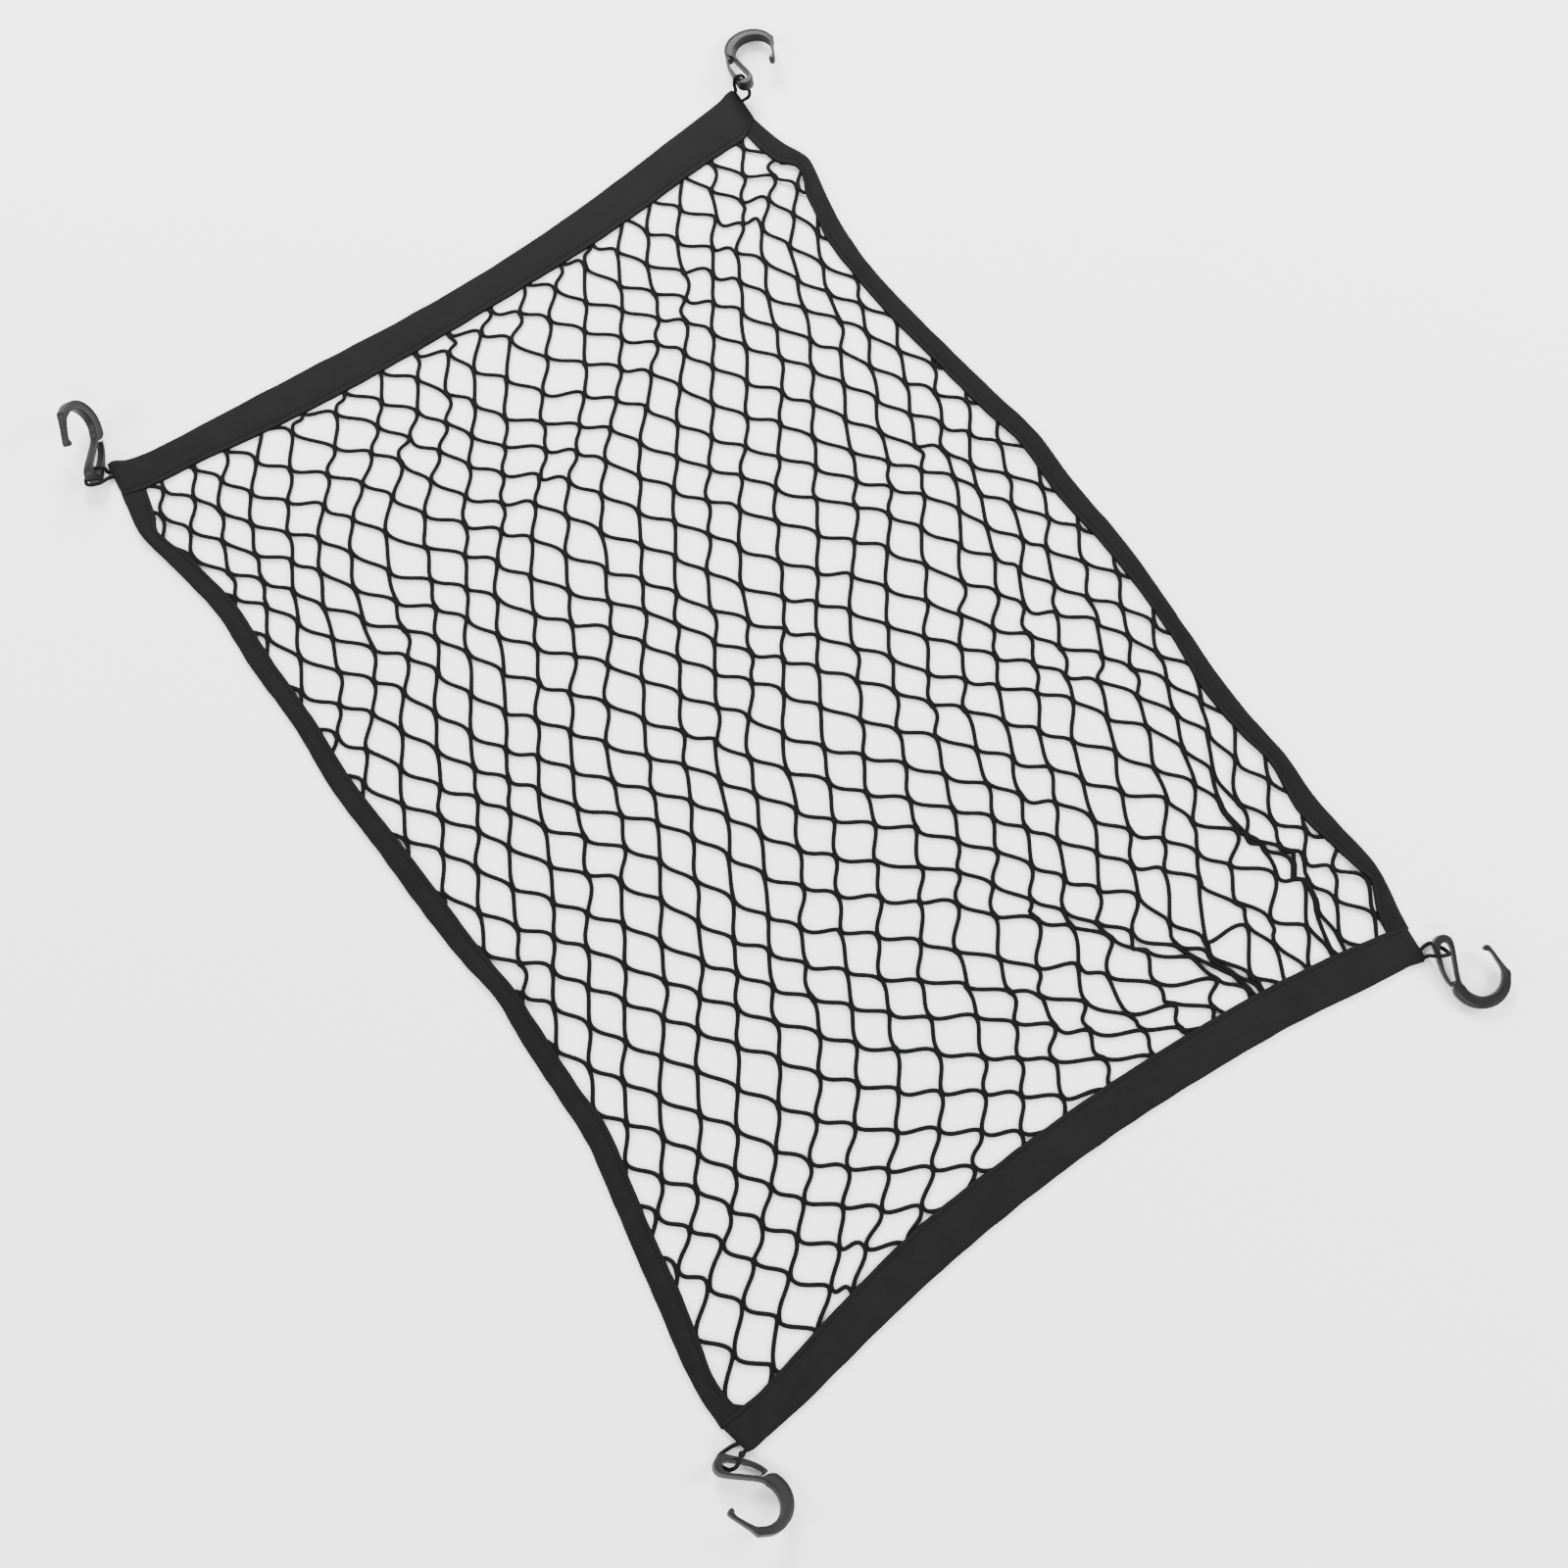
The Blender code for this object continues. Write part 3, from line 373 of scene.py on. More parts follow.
def waves(at, height, period, seed, count=4):
    """Sum of sines with periods around the given one and random phases, within the height."""
    random = np.random.default_rng(seed)
    total = np.zeros_like(at)
    for _ in range(count):
        length = period * random.uniform(0.6, 1.7)
        total += np.sin(2 * np.pi * at / length + random.uniform(0, 2 * np.pi))
    return height * (total / count)


def run_lengths(points):
    """Distance along a line of points, from 0 at its first point."""
    steps = norm(np.diff(points, axis=0), axis=-1)
    return np.concatenate([[0.0], np.cumsum(steps)])


def walked(line, at):
    """Points of a line at distances along it."""
    length = run_lengths(line)
    return np.stack([np.interp(at, length, line[:, axis]) for axis in range(3)], axis=-1)


def from_ends(length):
    """Distance from the nearer end of a line."""
    return np.minimum(length, length[-1] - length)


# ---- meshes
Part = namedtuple("Part", "points quads uv")
UV_MAP = "cloth"


def swept(rings, along, around):
    """A closed solid from rings of points (line, ring, 3).

    Wall: each ring is joined to the next by quads.  Lids: quads laid across the end rings
    from their first half to their second half.  UV: length along the line and length
    round the ring, in metres.
    """
    count, sides = rings.shape[:2]
    start = np.arange(count - 1)[:, None] * sides
    here = np.arange(sides)
    there = (here + 1) % sides
    wall = np.stack([start + here, start + there, start + sides + there, start + sides + here],
                    axis=-1).reshape(-1, 4)
    chart = np.stack(np.broadcast_arrays(along[:, None], around), axis=-1) * MM
    wall_uv = np.stack([chart[:-1, :-1], chart[:-1, 1:], chart[1:, 1:], chart[1:, :-1]],
                       axis=2).reshape(-1, 4, 2)
    step = np.arange(sides // 2 - 1)
    lid = np.stack([step, step + 1, sides - 2 - step, sides - 1 - step], axis=-1)
    first_lid, last_lid = lid[:, ::-1], lid + (count - 1) * sides
    quads = np.concatenate([wall, first_lid, last_lid])
    uv = np.concatenate([wall_uv, chart[0][first_lid], chart[-1][lid]])
    points = rings.reshape(-1, 3)
    a, b, c, d = (points[quads[:, k]] for k in range(4))
    volume = (np.cross(a, b) * c).sum() + (np.cross(a, c) * d).sum()
    if volume < 0:
        quads, uv = quads[:, ::-1], uv[:, ::-1]
    return Part(points, quads, uv)


def tube(line, width, height, sides, bulge=0.0):
    """A closed solid from ellipses carried along a line: the point of ring angle a stands
    width/2 cos a to the side and height/2 sin a up, plus the bulge outwards.  Height has a
    value at each point of the line."""
    forward = np.gradient(line, axis=0)
    forward /= norm(forward, axis=-1, keepdims=True)
    side = np.cross(forward, (0.0, 0.0, 1.0))
    side /= norm(side, axis=-1, keepdims=True)
    up = np.cross(side, forward)
    angle = 2 * np.pi * np.arange(sides) / sides
    out_side = (width / 2 + bulge) * np.cos(angle)
    out_up = (height[:, None] / 2 + bulge) * np.sin(angle)
    rings = line[:, None] + out_side[..., None] * side[:, None] + out_up[..., None] * up[:, None]
    around = np.linspace(0.0, np.pi * (width + height.max()) / 2, sides + 1)
    return swept(rings, run_lengths(line), around)


def new_object(name, data):
    made = bpy.data.objects.new(name, data)
    bpy.context.scene.collection.objects.link(made)
    return made


def add_piece(name, parts, finish):
    """Join the parts into one mesh in the frame, as a piece that rides on the body."""
    offsets = np.cumsum([0] + [len(part.points) for part in parts[:-1]])
    points = (np.concatenate([part.points for part in parts]) + PLAN_MIDDLE) * MM
    quads = np.concatenate([part.quads + offset for part, offset in zip(parts, offsets)])
    uv = np.concatenate([part.uv for part in parts])
    mesh = bpy.data.meshes.new(name)
    mesh.vertices.add(len(points))
    mesh.vertices.foreach_set("co", points.astype(np.float32).ravel())
    mesh.loops.add(quads.size)
    mesh.loops.foreach_set("vertex_index", quads.astype(np.int32).ravel())
    mesh.polygons.add(len(quads))
    mesh.polygons.foreach_set("loop_start", np.arange(0, quads.size, 4, dtype=np.int32))
    mesh.polygons.foreach_set("use_smooth", np.ones(len(quads), dtype=bool))
    layer = mesh.uv_layers.new(name=UV_MAP)
    layer.uv.foreach_set("vector", uv.astype(np.float32).ravel())
    mesh.update(calc_edges=True)
    mesh.validate()
    mesh.materials.append(finish)
    piece = new_object(name, mesh)
    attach(piece, "root")
    return piece


# ---- finishes
TONE_RANGE = (0.3, 0.75)    # tones that get the darkest and the lightest shade


def outputs_of(tree, kind, inputs, **traits):
    """Outputs of a new shader node, whose inputs are given as sockets or numbers."""
    node = tree.nodes.new("ShaderNode" + kind)
    for name, value in traits.items():
        setattr(node, name, value)
    for place, value in inputs.items():
        if isinstance(value, bpy.types.NodeSocket):
            tree.links.new(value, node.inputs[place])
        else:
            node.inputs[place].default_value = value
    return node.outputs


def math_node(tree, operation, *values):
    return outputs_of(tree, "Math", dict(enumerate(values)), operation=operation)[0]


def noise(tree, chart, scale, detail=2.0, roughness=0.5):
    return outputs_of(tree, "TexNoise", {"Vector": chart, "Scale": scale, "Detail": detail,
                                         "Roughness": roughness})["Fac"]


def pattern_group(pattern, numbers):
    """A shader group that takes a chart and the named numbers.  The pattern works out its
    height and tone from the group, its inputs and the two axes of the chart."""
    name = pattern.__name__.replace("_", " ")
    if name in bpy.data.node_groups:
        return bpy.data.node_groups[name]
    group = bpy.data.node_groups.new(name, "ShaderNodeTree")
    sockets = [("Chart", "INPUT", "NodeSocketVector")]
    sockets += [(label, "INPUT", "NodeSocketFloat") for label in numbers]
    sockets += [(label, "OUTPUT", "NodeSocketFloat") for label in ("Height", "Tone")]
    for label, way, kind in sockets:
        group.interface.new_socket(name=label, in_out=way, socket_type=kind)
    given = group.nodes.new("NodeGroupInput").outputs
    result = group.nodes.new("NodeGroupOutput").inputs
    axes = outputs_of(group, "SeparateXYZ", {0: given["Chart"]})
    for label, value in pattern(group, given, axes).items():
        group.links.new(value, result[label])
    return group


def woven_cloth(group, given, axes):
    """Plain weave: height is the product of a wave along the cloth and one across it,
    each the pitch of a thread, and tone is a slow cloudy noise."""
    turn = math_node(group, "DIVIDE", math.pi, given["Pitch"])
    threads = [math_node(group, "SINE", math_node(group, "MULTIPLY", axes[k], turn))
               for k in range(2)]
    crossing = math_node(group, "MULTIPLY", *threads)
    fibre = noise(group, given["Chart"], scale=2600.0, detail=3.0)
    cloud = noise(group, given["Chart"], scale=38.0, detail=6.0, roughness=0.7)
    faint = math_node(group, "MULTIPLY", fibre, 0.25)
    return {"Height": math_node(group, "MULTIPLY_ADD", crossing, 0.5, fibre),
            "Tone": math_node(group, "MULTIPLY_ADD", cloud, 0.75, faint)}


def ribbed_cord(group, given, axes):
    """Knitted or braided cord: height is a wave along the cord whose phase slants up on
    one flank and down on the other; tone is painted shade, darker between the ribs where the wave
    is low, plus a random fuzz."""
    turn = math_node(group, "DIVIDE", 2 * math.pi, given["Pitch"])
    slant = math_node(group, "MULTIPLY", axes[1], given["Slant"])
    zigzag = math_node(group, "PINGPONG", slant, 2.5)
    wave = math_node(group, "SINE", math_node(group, "MULTIPLY_ADD", axes[0], turn, zigzag))
    fuzz = noise(group, given["Chart"], scale=2200.0, detail=3.0)
    return {"Height": math_node(group, "MULTIPLY_ADD", wave, 0.5, fuzz),
            # Tone: painted shade from the rib wave, darker in the hollows between the ribs, plus
            # random fuzz
            "Tone": math_node(group, "MULTIPLY_ADD", wave, 0.22, fuzz)}


def new_finish(name, roughness, shine):
    material = bpy.data.materials.new(name)
    material.use_nodes = True
    shader = material.node_tree.nodes["Principled BSDF"]
    shader.inputs["Roughness"].default_value = roughness
    shader.inputs["Specular IOR Level"].default_value = shine
    return material, material.node_tree, shader


def toned(tree, shader, tone, colour, dark, light):
    """Base colour between a darker and a lighter shade of the colour, by the tone."""
    ramp = tree.nodes.new("ShaderNodeValToRGB")
    for element, place, factor in zip(ramp.color_ramp.elements, TONE_RANGE, (dark, light)):
        element.position = place
        element.color = (*(c * factor for c in colour), 1.0)
    tree.links.new(tone, ramp.inputs["Fac"])
    tree.links.new(ramp.outputs["Color"], shader.inputs["Base Color"])


def raised(tree, shader, height, distance, strength):
    bump = outputs_of(tree, "Bump", {"Height": height, "Distance": distance, "Strength": strength})
    tree.links.new(bump["Normal"], shader.inputs["Normal"])


def patterned_finish(name, colour, pattern, numbers, surface, shades, relief):
    """Material whose tone and relief come from a shader group laid on the piece's UV.
    Surface is its roughness and shine, relief its height and strength."""
    material, tree, shader = new_finish(name, *surface)
    chart = outputs_of(tree, "UVMap", {}, uv_map=UV_MAP)["UV"]
    laid = outputs_of(tree, "Group", {"Chart": chart, **numbers},
                      node_tree=pattern_group(pattern, numbers))
    toned(tree, shader, laid["Tone"], colour, *shades)
    raised(tree, shader, laid["Height"], *relief)
    return material


def cloth_finish(name, colour, pitch):
    """Matte woven cloth with thread relief and faint cloudy tone."""
    return patterned_finish(name, colour, woven_cloth, {"Pitch": pitch}, surface=(0.85, 0.09),
                            shades=(0.75, 1.3), relief=(0.00012, 0.55))


def cord_finish(name, colour, pitch, slant, relief):
    """Dull knitted or braided cord, with painted shade in the hollows between its ribs."""
    return patterned_finish(name, colour, ribbed_cord, {"Pitch": pitch, "Slant": slant},
                            surface=(0.78, 0.07), shades=(0.6, 1.5), relief=(relief, 0.7))


def plastic_finish(colour):
    """Moulded plastic: satin, with a slow flow in its tone and roughness, and a fine grain."""
    material, tree, shader = new_finish("moulded plastic", roughness=0.5, shine=0.16)
    chart = outputs_of(tree, "TexCoord", {})["Object"]
    flow = noise(tree, chart, scale=55.0, detail=3.0)
    toned(tree, shader, flow, colour, dark=0.85, light=1.2)
    gloss = outputs_of(tree, "MapRange", {"Value": flow, "To Min": 0.4, "To Max": 0.55})
    tree.links.new(gloss["Result"], shader.inputs["Roughness"])
    grain = noise(tree, chart, scale=900.0, detail=4.0)
    raised(tree, shader, grain, distance=0.00006, strength=0.35)
    return material


def floor_finish(colour):
    """Plain pale paper sweep with a breath of unevenness."""
    material, tree, shader = new_finish("pale floor", roughness=0.9, shine=0.1)
    chart = outputs_of(tree, "TexCoord", {})["Object"]
    toned(tree, shader, noise(tree, chart, scale=1.5), colour, dark=0.995, light=1.005)
    return material


# ---- stage
LOOKS_AT = Vector((0.0676, -0.0193, 0.0))
FLOOR_HALF = 6.0
# Name, place, size and power of each lamp.
LAMPS = (("left", (-2.3, 0.9, 1.6), 1.4, 240.0), ("far", (0.9, 2.3, 1.6), 1.5, 150.0),
         ("right", (2.3, -0.9, 1.6), 1.5, 90.0), ("near", (-0.9, -2.3, 1.6), 1.5, 90.0))


def add_camera(scene, settings):
    """Camera on a sphere about the place that it looks at."""
    turn = (Matrix.Rotation(settings.heading, 4, "Z")
            @ Matrix.Rotation(math.pi / 2 - settings.elevation, 4, "X"))
    data = bpy.data.cameras.new("camera")
    data.sensor_width = 36.0
    data.lens = settings.lens
    scene.camera = new_object("camera", data)
    away = turn @ Vector((0.0, 0.0, settings.distance))
    scene.camera.matrix_world = Matrix.Translation(LOOKS_AT + away) @ turn


def add_floor(settings):
    corners = [(x * FLOOR_HALF, y * FLOOR_HALF, 0.0)
               for x, y in ((-1, -1), (1, -1), (1, 1), (-1, 1))]
    mesh = bpy.data.meshes.new("floor")
    mesh.from_pydata(corners, [], [(0, 1, 2, 3)])
    mesh.materials.append(floor_finish(settings.floor_colour))
    floor = new_object("floor", mesh)


def add_light(scene):
    """White world and four large soft lamps at the sides, so that level black cloth has
    nothing bright to mirror."""
    scene.world = bpy.data.worlds.new("studio")
    scene.world.use_nodes = True
    background = scene.world.node_tree.nodes["Background"]
    background.inputs["Color"].default_value = (1.0, 1.0, 1.0, 1.0)
    background.inputs["Strength"].default_value = 0.6
    for name, place, size, power in LAMPS:
        data = bpy.data.lights.new(name, "AREA")
        data.size = size
        data.energy = power
        lamp = new_object(name, data)
        lamp.location = place
        lamp.rotation_mode = "QUATERNION"
        lamp.rotation_quaternion = (-Vector(place)).to_track_quat("-Z", "Y")


class NetStage(bpy.types.Operator):
    """Set the camera at the photograph's angle, with a pale floor and soft light"""

    bl_idname = "cargo_net.stage"
    bl_label = "Stage"

    def execute(self, context):
        settings = context.scene.net_stage
        add_camera(context.scene, settings)
        add_floor(settings)
        add_light(context.scene)
        return {"FINISHED"}


# ---- snap hooks and loops
def placed(points, pose):
    """Points in the axes of a hook, turned and placed as the hook lies."""
    turn = np.array(Matrix.Translation((pose.x, pose.y, pose.z))
                    @ Matrix.Rotation(math.radians(pose.heading), 4, "Z")
                    @ Matrix.Rotation(math.radians(pose.pitch), 4, "Y")
                    @ Matrix.Rotation(math.radians(pose.roll), 4, "X"))
    return points @ turn[:3, :3].T + turn[:3, 3]


def arc_rows(arc):
    """Rows of a ribbon between two arcs that share their angles."""
    rows = []
    for angle in np.radians(np.linspace(arc.first, arc.last, arc.count)):
        ray = np.array([math.cos(angle), math.sin(angle)])
        rows.append(HookRow(*(arc.a_centre + arc.a_radius * ray),
                            *(arc.b_centre + arc.b_radius * ray), arc.depth, arc.groove))
    return rows


def hook_part(settings):
    """The hook's ribbon in its own axes.

    Section: a box of the ribbon's width and depth with rounded edges, whose two faces are
    sunk between rims by the groove.  It is carried along a cubic through the rows.
    """
    rows = np.array(HOOK_GATE + arc_rows(HOOK_EYE) + HOOK_SHANK + arc_rows(HOOK_BOW)
                    + HOOK_FINGER)
    fine = along_places((rows[:, 0:2] + rows[:, 2:4]) / 2, rows, HOOK_RINGS)
    a, b = fine[:, None, 0:2], fine[:, None, 2:4]
    depth, groove = fine[:, None, 4] / 2, np.clip(fine[:, None, 5], 0.0, None)
    width = norm(b - a, axis=-1)
    edge = np.minimum(settings.edge / MM, WIDEST_EDGE * width)
    rim = np.minimum(settings.rim / MM, WIDEST_RIM * width)
    lip = edge + rim
    slope = np.maximum(SLOPE_BY_DEPTH * groove, SLOPE_BY_WIDTH * width)
    foot = lip + np.minimum(slope, (width / 2 - lip) / 2)
    floor = foot + np.minimum(FLAT_RUN, (width / 2 - foot) / 2)
    sunk = depth - groove
    quarter_in = np.hstack([width / 2, floor, foot, lip, edge * (1 - np.cos(EDGE_TURN))])
    quarter_up = np.hstack([sunk, sunk, sunk, depth, depth - edge * (1 - np.sin(EDGE_TURN))])
    side_in = np.hstack([quarter_in, quarter_in[:, ::-1]])[:, 1:]
    side_up = np.hstack([quarter_up, -quarter_up[:, ::-1]])[:, 1:]
    inward, upward = np.hstack([side_in, width - side_in]), np.hstack([side_up, -side_up])
    across = (b - a) / np.maximum(width, 1e-6)[..., None]
    plane = a + across * inward[..., None]
    rings = np.concatenate([plane, upward[..., None]], axis=-1)
    around = run_lengths(np.concatenate([rings[USUAL_RING], rings[USUAL_RING][:1]]))
    return swept(rings, run_lengths(rings[:, 0]), around)


class NetHooks(bpy.types.Operator):
    """Make the moulded snap hooks, each as it lies at its corner"""

    bl_idname = "cargo_net.hooks"
    bl_label = "Snap hooks"

    def execute(self, context):
        settings = context.scene.net_hooks
        finish = plastic_finish(settings.plastic_colour)
        shape = hook_part(settings)
        for corner, pose in HOOKS.items():
            points = placed(shape.points, pose)
            points[:, 2] -= min(0.0, points[:, 2].min())
            hook = add_piece("snap_hook_" + corner, [shape._replace(points=points)], finish)
            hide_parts("hook_" + corner)
        return {"FINISHED"}


def loop_line(route, pose, step):
    """Route of a corner loop: a curve through its own points, evenly divided, which starts
    and ends inside the corner of the hem band."""
    own = np.concatenate([route.leaves, placed(np.array(route.wraps), pose), route.returns])
    sewn = []
    for end, beside in ((own[0], own[1]), (own[-1], own[-2])):
        inward = (end - beside) / norm(end - beside)
        sewn.append(np.array([*(end + SEWN_IN * inward)[:2], SEWN_HEIGHT]))
    own = np.concatenate([sewn[:1], own, sewn[1:]])
    line = along_places(own, own, LOOP_POINTS)
    whole = run_lengths(line)[-1]
    return walked(line, np.linspace(0.0, whole, int(whole / step)))


class NetLoops(bpy.types.Operator):
    """Make the cord loops that hold the hooks at the corners"""

    bl_idname = "cargo_net.loops"
    bl_label = "Corner loops"

    def execute(self, context):
        settings = context.scene.net_hooks
        diameter = settings.cord / MM
        finish = cord_finish("braided cord", settings.cord_colour, pitch=0.0014, slant=1300.0,
                             relief=0.00014)
        for corner, route in LOOPS.items():
            line = loop_line(route, HOOKS[corner], settings.cord_step / MM)
            length = run_lengths(line)
            opened = eased(from_ends(length) / FLAT_END_REACH)
            height = diameter * (FLAT_END + (1 - FLAT_END) * opened)
            part = tube(line, diameter, height, CORD_SIDES)
            loop = add_piece("corner_loop_" + corner, [part], finish)
            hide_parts("loop_" + corner)
        return {"FINISHED"}


# ---- net
def lattice():
    """Columns, rows and the middles of the joins, as arrays over the whole lattice."""
    columns = np.arange(FIRST_COLUMN, LAST_COLUMN + 1)
    rows = np.arange(FIRST_ROW, LAST_ROW + 1)
    grids = []
    for table in (JOIN_PLACES, JOIN_HEIGHTS):
        read = np.array(table, dtype=float)
        by_row = through(read[:, 0], read[:, 1:], rows)
        grids.append(through(COLUMNS_READ, by_row.T, columns))
    return columns, rows, np.stack(grids, axis=-1)


def depth_past_edge(points):
    """Distance past the nearest inner edge into a folded band; negative in the open."""
    x, y = points[..., 0], points[..., 1]
    return np.max([from_table(HEM_LEFT, "inner", y) - x, x - from_table(HEM_RIGHT, "inner", y),
                   y - from_table(BINDING_FAR, "inner", x),
                   from_table(BINDING_NEAR, "inner", x) - y], axis=0)


def pucker_lift(points):
    """How far the nearer binding's pucker lifts the net; fades with the distance."""
    x, y = points[..., 0], points[..., 1]
    total = np.zeros_like(x)
    for rows, side in ((BINDING_FAR, 1.0), (BINDING_NEAR, -1.0)):
        lift = np.clip(from_table(rows, "lift", x), 0.0, None)
        away = np.clip(side * (from_table(rows, "inner", x) - y), 0.0, None)
        total += lift * np.exp(-(away / PUCKER_REACH) ** 2)
    return total


def drifted(points, seed, period=135.0, count=7):
    """Slow random field: a sum of plane waves, each the sine of its phase plus the point's
    distance along a random direction, by 2 pi over a period near the given one.  Its
    spread is 1."""
    random = np.random.default_rng(seed)
    total = np.zeros(points.shape)
    for _ in range(count):
        heading = random.uniform(0, 2 * np.pi)
        turn = 2 * np.pi / (period * random.uniform(0.55, 1.6))
        along = points @ np.array([math.cos(heading), math.sin(heading)]) * turn
        phase = random.uniform(0, 2 * np.pi, 2)
        total += np.sin(along[..., None] + phase)
    return total * math.sqrt(2.0 / count)


def gathered(points):
    """Move points towards the creases, one after the other, by squeeze times the distance
    across and a bell curve of it that fades past the crease's ends."""
    moved = points.copy()
    for crease in CREASES:
        start = np.array([crease.x, crease.y], dtype=float)
        run = np.array([crease.end_x, crease.end_y]) - start
        length = np.hypot(*run)
        run /= length
        across = np.array([-run[1], run[0]])
        offset = moved - start
        beside = offset @ across
        past = np.clip(np.maximum(-(offset @ run), offset @ run - length), 0.0, None)
        bell = np.exp(-(beside / crease.reach) ** 2 - (past / crease.reach) ** 2)
        moved -= (crease.squeeze * beside * bell)[..., None] * across
    return moved


class NetJoins:
    """Middles, directions and sides of the fused joins."""

    def __init__(self, settings):
        random = np.random.default_rng(settings.seed)
        self.columns, self.rows, even = lattice()
        column_of, row_of = np.meshgrid(self.columns, self.rows, indexing="ij")
        slack = np.zeros(column_of.shape)
        for row in SLACK:
            away = (column_of - row.column) ** 2 + (row_of - row.row) ** 2
            slack += row.wander * np.exp(-away / row.reach**2)
        group = drifted(even, settings.seed)
        group *= (settings.drift + SHARED_SLACK * MM * slack)[..., None]
        own = random.normal(0.0, 1.0, even.shape).clip(-2.0, 2.0)
        own *= (settings.wander + OWN_SLACK * MM * slack)[..., None]
        self.middle = gathered(even + (group + own) / MM)
        along = np.gradient(self.middle, axis=0)
        along = (along + np.gradient(even, axis=0)) / 2
        angle = np.arctan2(along[..., 1], along[..., 0]) + JOIN_LEAN
        angle += random.normal(0.0, JOIN_TURN, angle.shape) * (1 + SLACK_TURN * slack)
        self.direction = np.stack([np.cos(angle), np.sin(angle)], axis=-1)
        self.side = np.stack([-np.sin(angle), np.cos(angle)], axis=-1)
        self.pull = random.uniform(*PULL_RANGE, (2, *angle.shape))
        self.bow = random.normal(0.0, BOW_SPREAD, angle.shape)


def strand_line(joins, row, settings):
    """Line of one zigzag strand between two rows of joins.

    At the joins of the lower row it lies on their far side and at those of the upper row
    on their near side.  Between joins it is a cubic Bezier curve that leaves and arrives
    along the joins, with longer handles where the yarn has slack.
    """
    i = np.arange(len(joins.columns))
    lower = (joins.columns + joins.rows[row]) % 2 == 1
    j = np.where(lower, row, row + 1)
    beside = np.where(lower, 1.0, -1.0)[:, None] * joins.side[i, j]
    beside *= BESIDE_JOIN * settings.width / MM
    direction = joins.direction[i, j]
    half = direction * (settings.join_length / MM / 2)
    enter, leave = joins.middle[i, j] + beside - half, joins.middle[i, j] + beside + half
    start, end = leave[:-1], enter[1:]
    chord = norm(end - start, axis=1, keepdims=True)
    slack = np.clip(settings.mesh_side / MM - chord, 0.0, MOST_SLACK)
    straight = (end - start) / chord
    handle = BY_DISTANCE * chord + BY_SLACK * slack
    away = joins.pull[0][i, j][:-1, None] * handle
    back = joins.pull[1][i, j][1:, None] * handle
    across = straight[:, ::-1] * (-1.0, 1.0)
    bow = across * joins.bow[i, j][:-1, None] * (1 + SLACK_BOW * slack)
    leaves, arrives = (ALONG_JOIN * part + (1 - ALONG_JOIN) * straight
                       for part in (direction[:-1], direction[1:]))
    first, second = start + leaves * away + bow, end - arrives * back + bow
    ring_pitch = settings.rib_pitch / MM / 2
    t, share = (np.linspace(0.0, 1.0, round(run / MM / ring_pitch), endpoint=False)[None, :, None]
                for run in (settings.mesh_side, settings.join_length))
    curve = ((1 - t) ** 3 * start[:, None] + 3 * t * (1 - t) ** 2 * first[:, None]
             + 3 * t**2 * (1 - t) * second[:, None] + t**3 * end[:, None])
    fused = enter[:-1, None] + (leave[:-1, None] - enter[:-1, None]) * share
    return np.concatenate([fused, curve], axis=1).reshape(-1, 2)


def strand_parts(plan, row, settings, cloth):
    """Ribbed yarn along a plan line, in the stretches that are not past the folded edges.

    The yarn rests on the surface and is pressed flat where it enters a folded edge.  Ribs:
    every other ring stands out, by a height that comes and goes in slow waves which differ
    between the two flanks.
    """
    slot_middle = (cloth.thickness + cloth.slot / 2) / MM
    depth = depth_past_edge(plan)
    shown = np.concatenate([[False], depth < GRIP, [False]])
    bounds = np.flatnonzero(np.diff(shown.astype(int)))
    parts = []
    for first, last in zip(bounds[::2], bounds[1::2]):
        if last - first < SHORTEST_STRETCH:
            continue
        here, into = plan[first:last], depth[first:last]
        press = eased((into + PRESS_REACH) / PRESS_REACH)
        height = settings.height / MM * (1 - PRESSED_FLAT * press)
        ride_up = RIDE_UP * (1 + waves(run_lengths(here), 1.0, RIDE_PERIOD, row)) * (1 - press)
        middle = height / 2 * (1 - press) + slot_middle * press + ride_up + pucker_lift(here)
        line = np.column_stack([here, middle])
        length = run_lengths(line)
        flanks = [FLANK_RIB + waves(length, *FLANK_WAVE, 10 * row + flank) for flank in range(2)]
        rib = np.where(np.arange(len(line)) % 2, 1.0, -1.0) * settings.rib / MM
        rib = rib * (1 - PRESSED_RIB * press) * np.array(flanks)
        bulge = np.stack([share * rib[flank] for flank, share in RIB_SHARES], axis=1)
        parts.append(tube(line, settings.width / MM, height, YARN_SIDES, bulge))
    return parts


def declare_net(parts):
    """Surface of the yarn in a quarter of the net, in square metres, summed over its quads;
    it is worked out and not used."""
    surface = 0.0
    for part in parts:
        a, b, c, d = (part.points[part.quads[:, k]] for k in range(4))
        surface += norm(np.cross(c - a, d - b), axis=1).sum() / 2 * MM * MM


class NetYarn(bpy.types.Operator):
    """Make the fused elastic net, in four pieces from the near to the far edge"""

    bl_idname = "cargo_net.net"
    bl_label = "Net"

    def execute(self, context):
        settings, cloth = context.scene.net_yarn, context.scene.net_cloth
        finish = cord_finish("knitted yarn", settings.colour, settings.rib_pitch, slant=700.0,
                             relief=0.0002)
        joins = NetJoins(settings)
        strands = [strand_parts(strand_line(joins, row, settings), row, settings, cloth)
                   for row in range(len(joins.rows) - 1)]
        strands = [parts for parts in strands if parts]
        places = ("near", "near_middle", "far_middle", "far")
        groups = np.array_split(np.arange(len(strands)), len(places))
        for place, group in zip(places, groups):
            parts = [part for strand in group for part in strands[strand]]
            piece = add_piece("net_" + place, parts, finish)
            declare_net(parts)
            if place == "near":
                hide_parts("net")
        return {"FINISHED"}


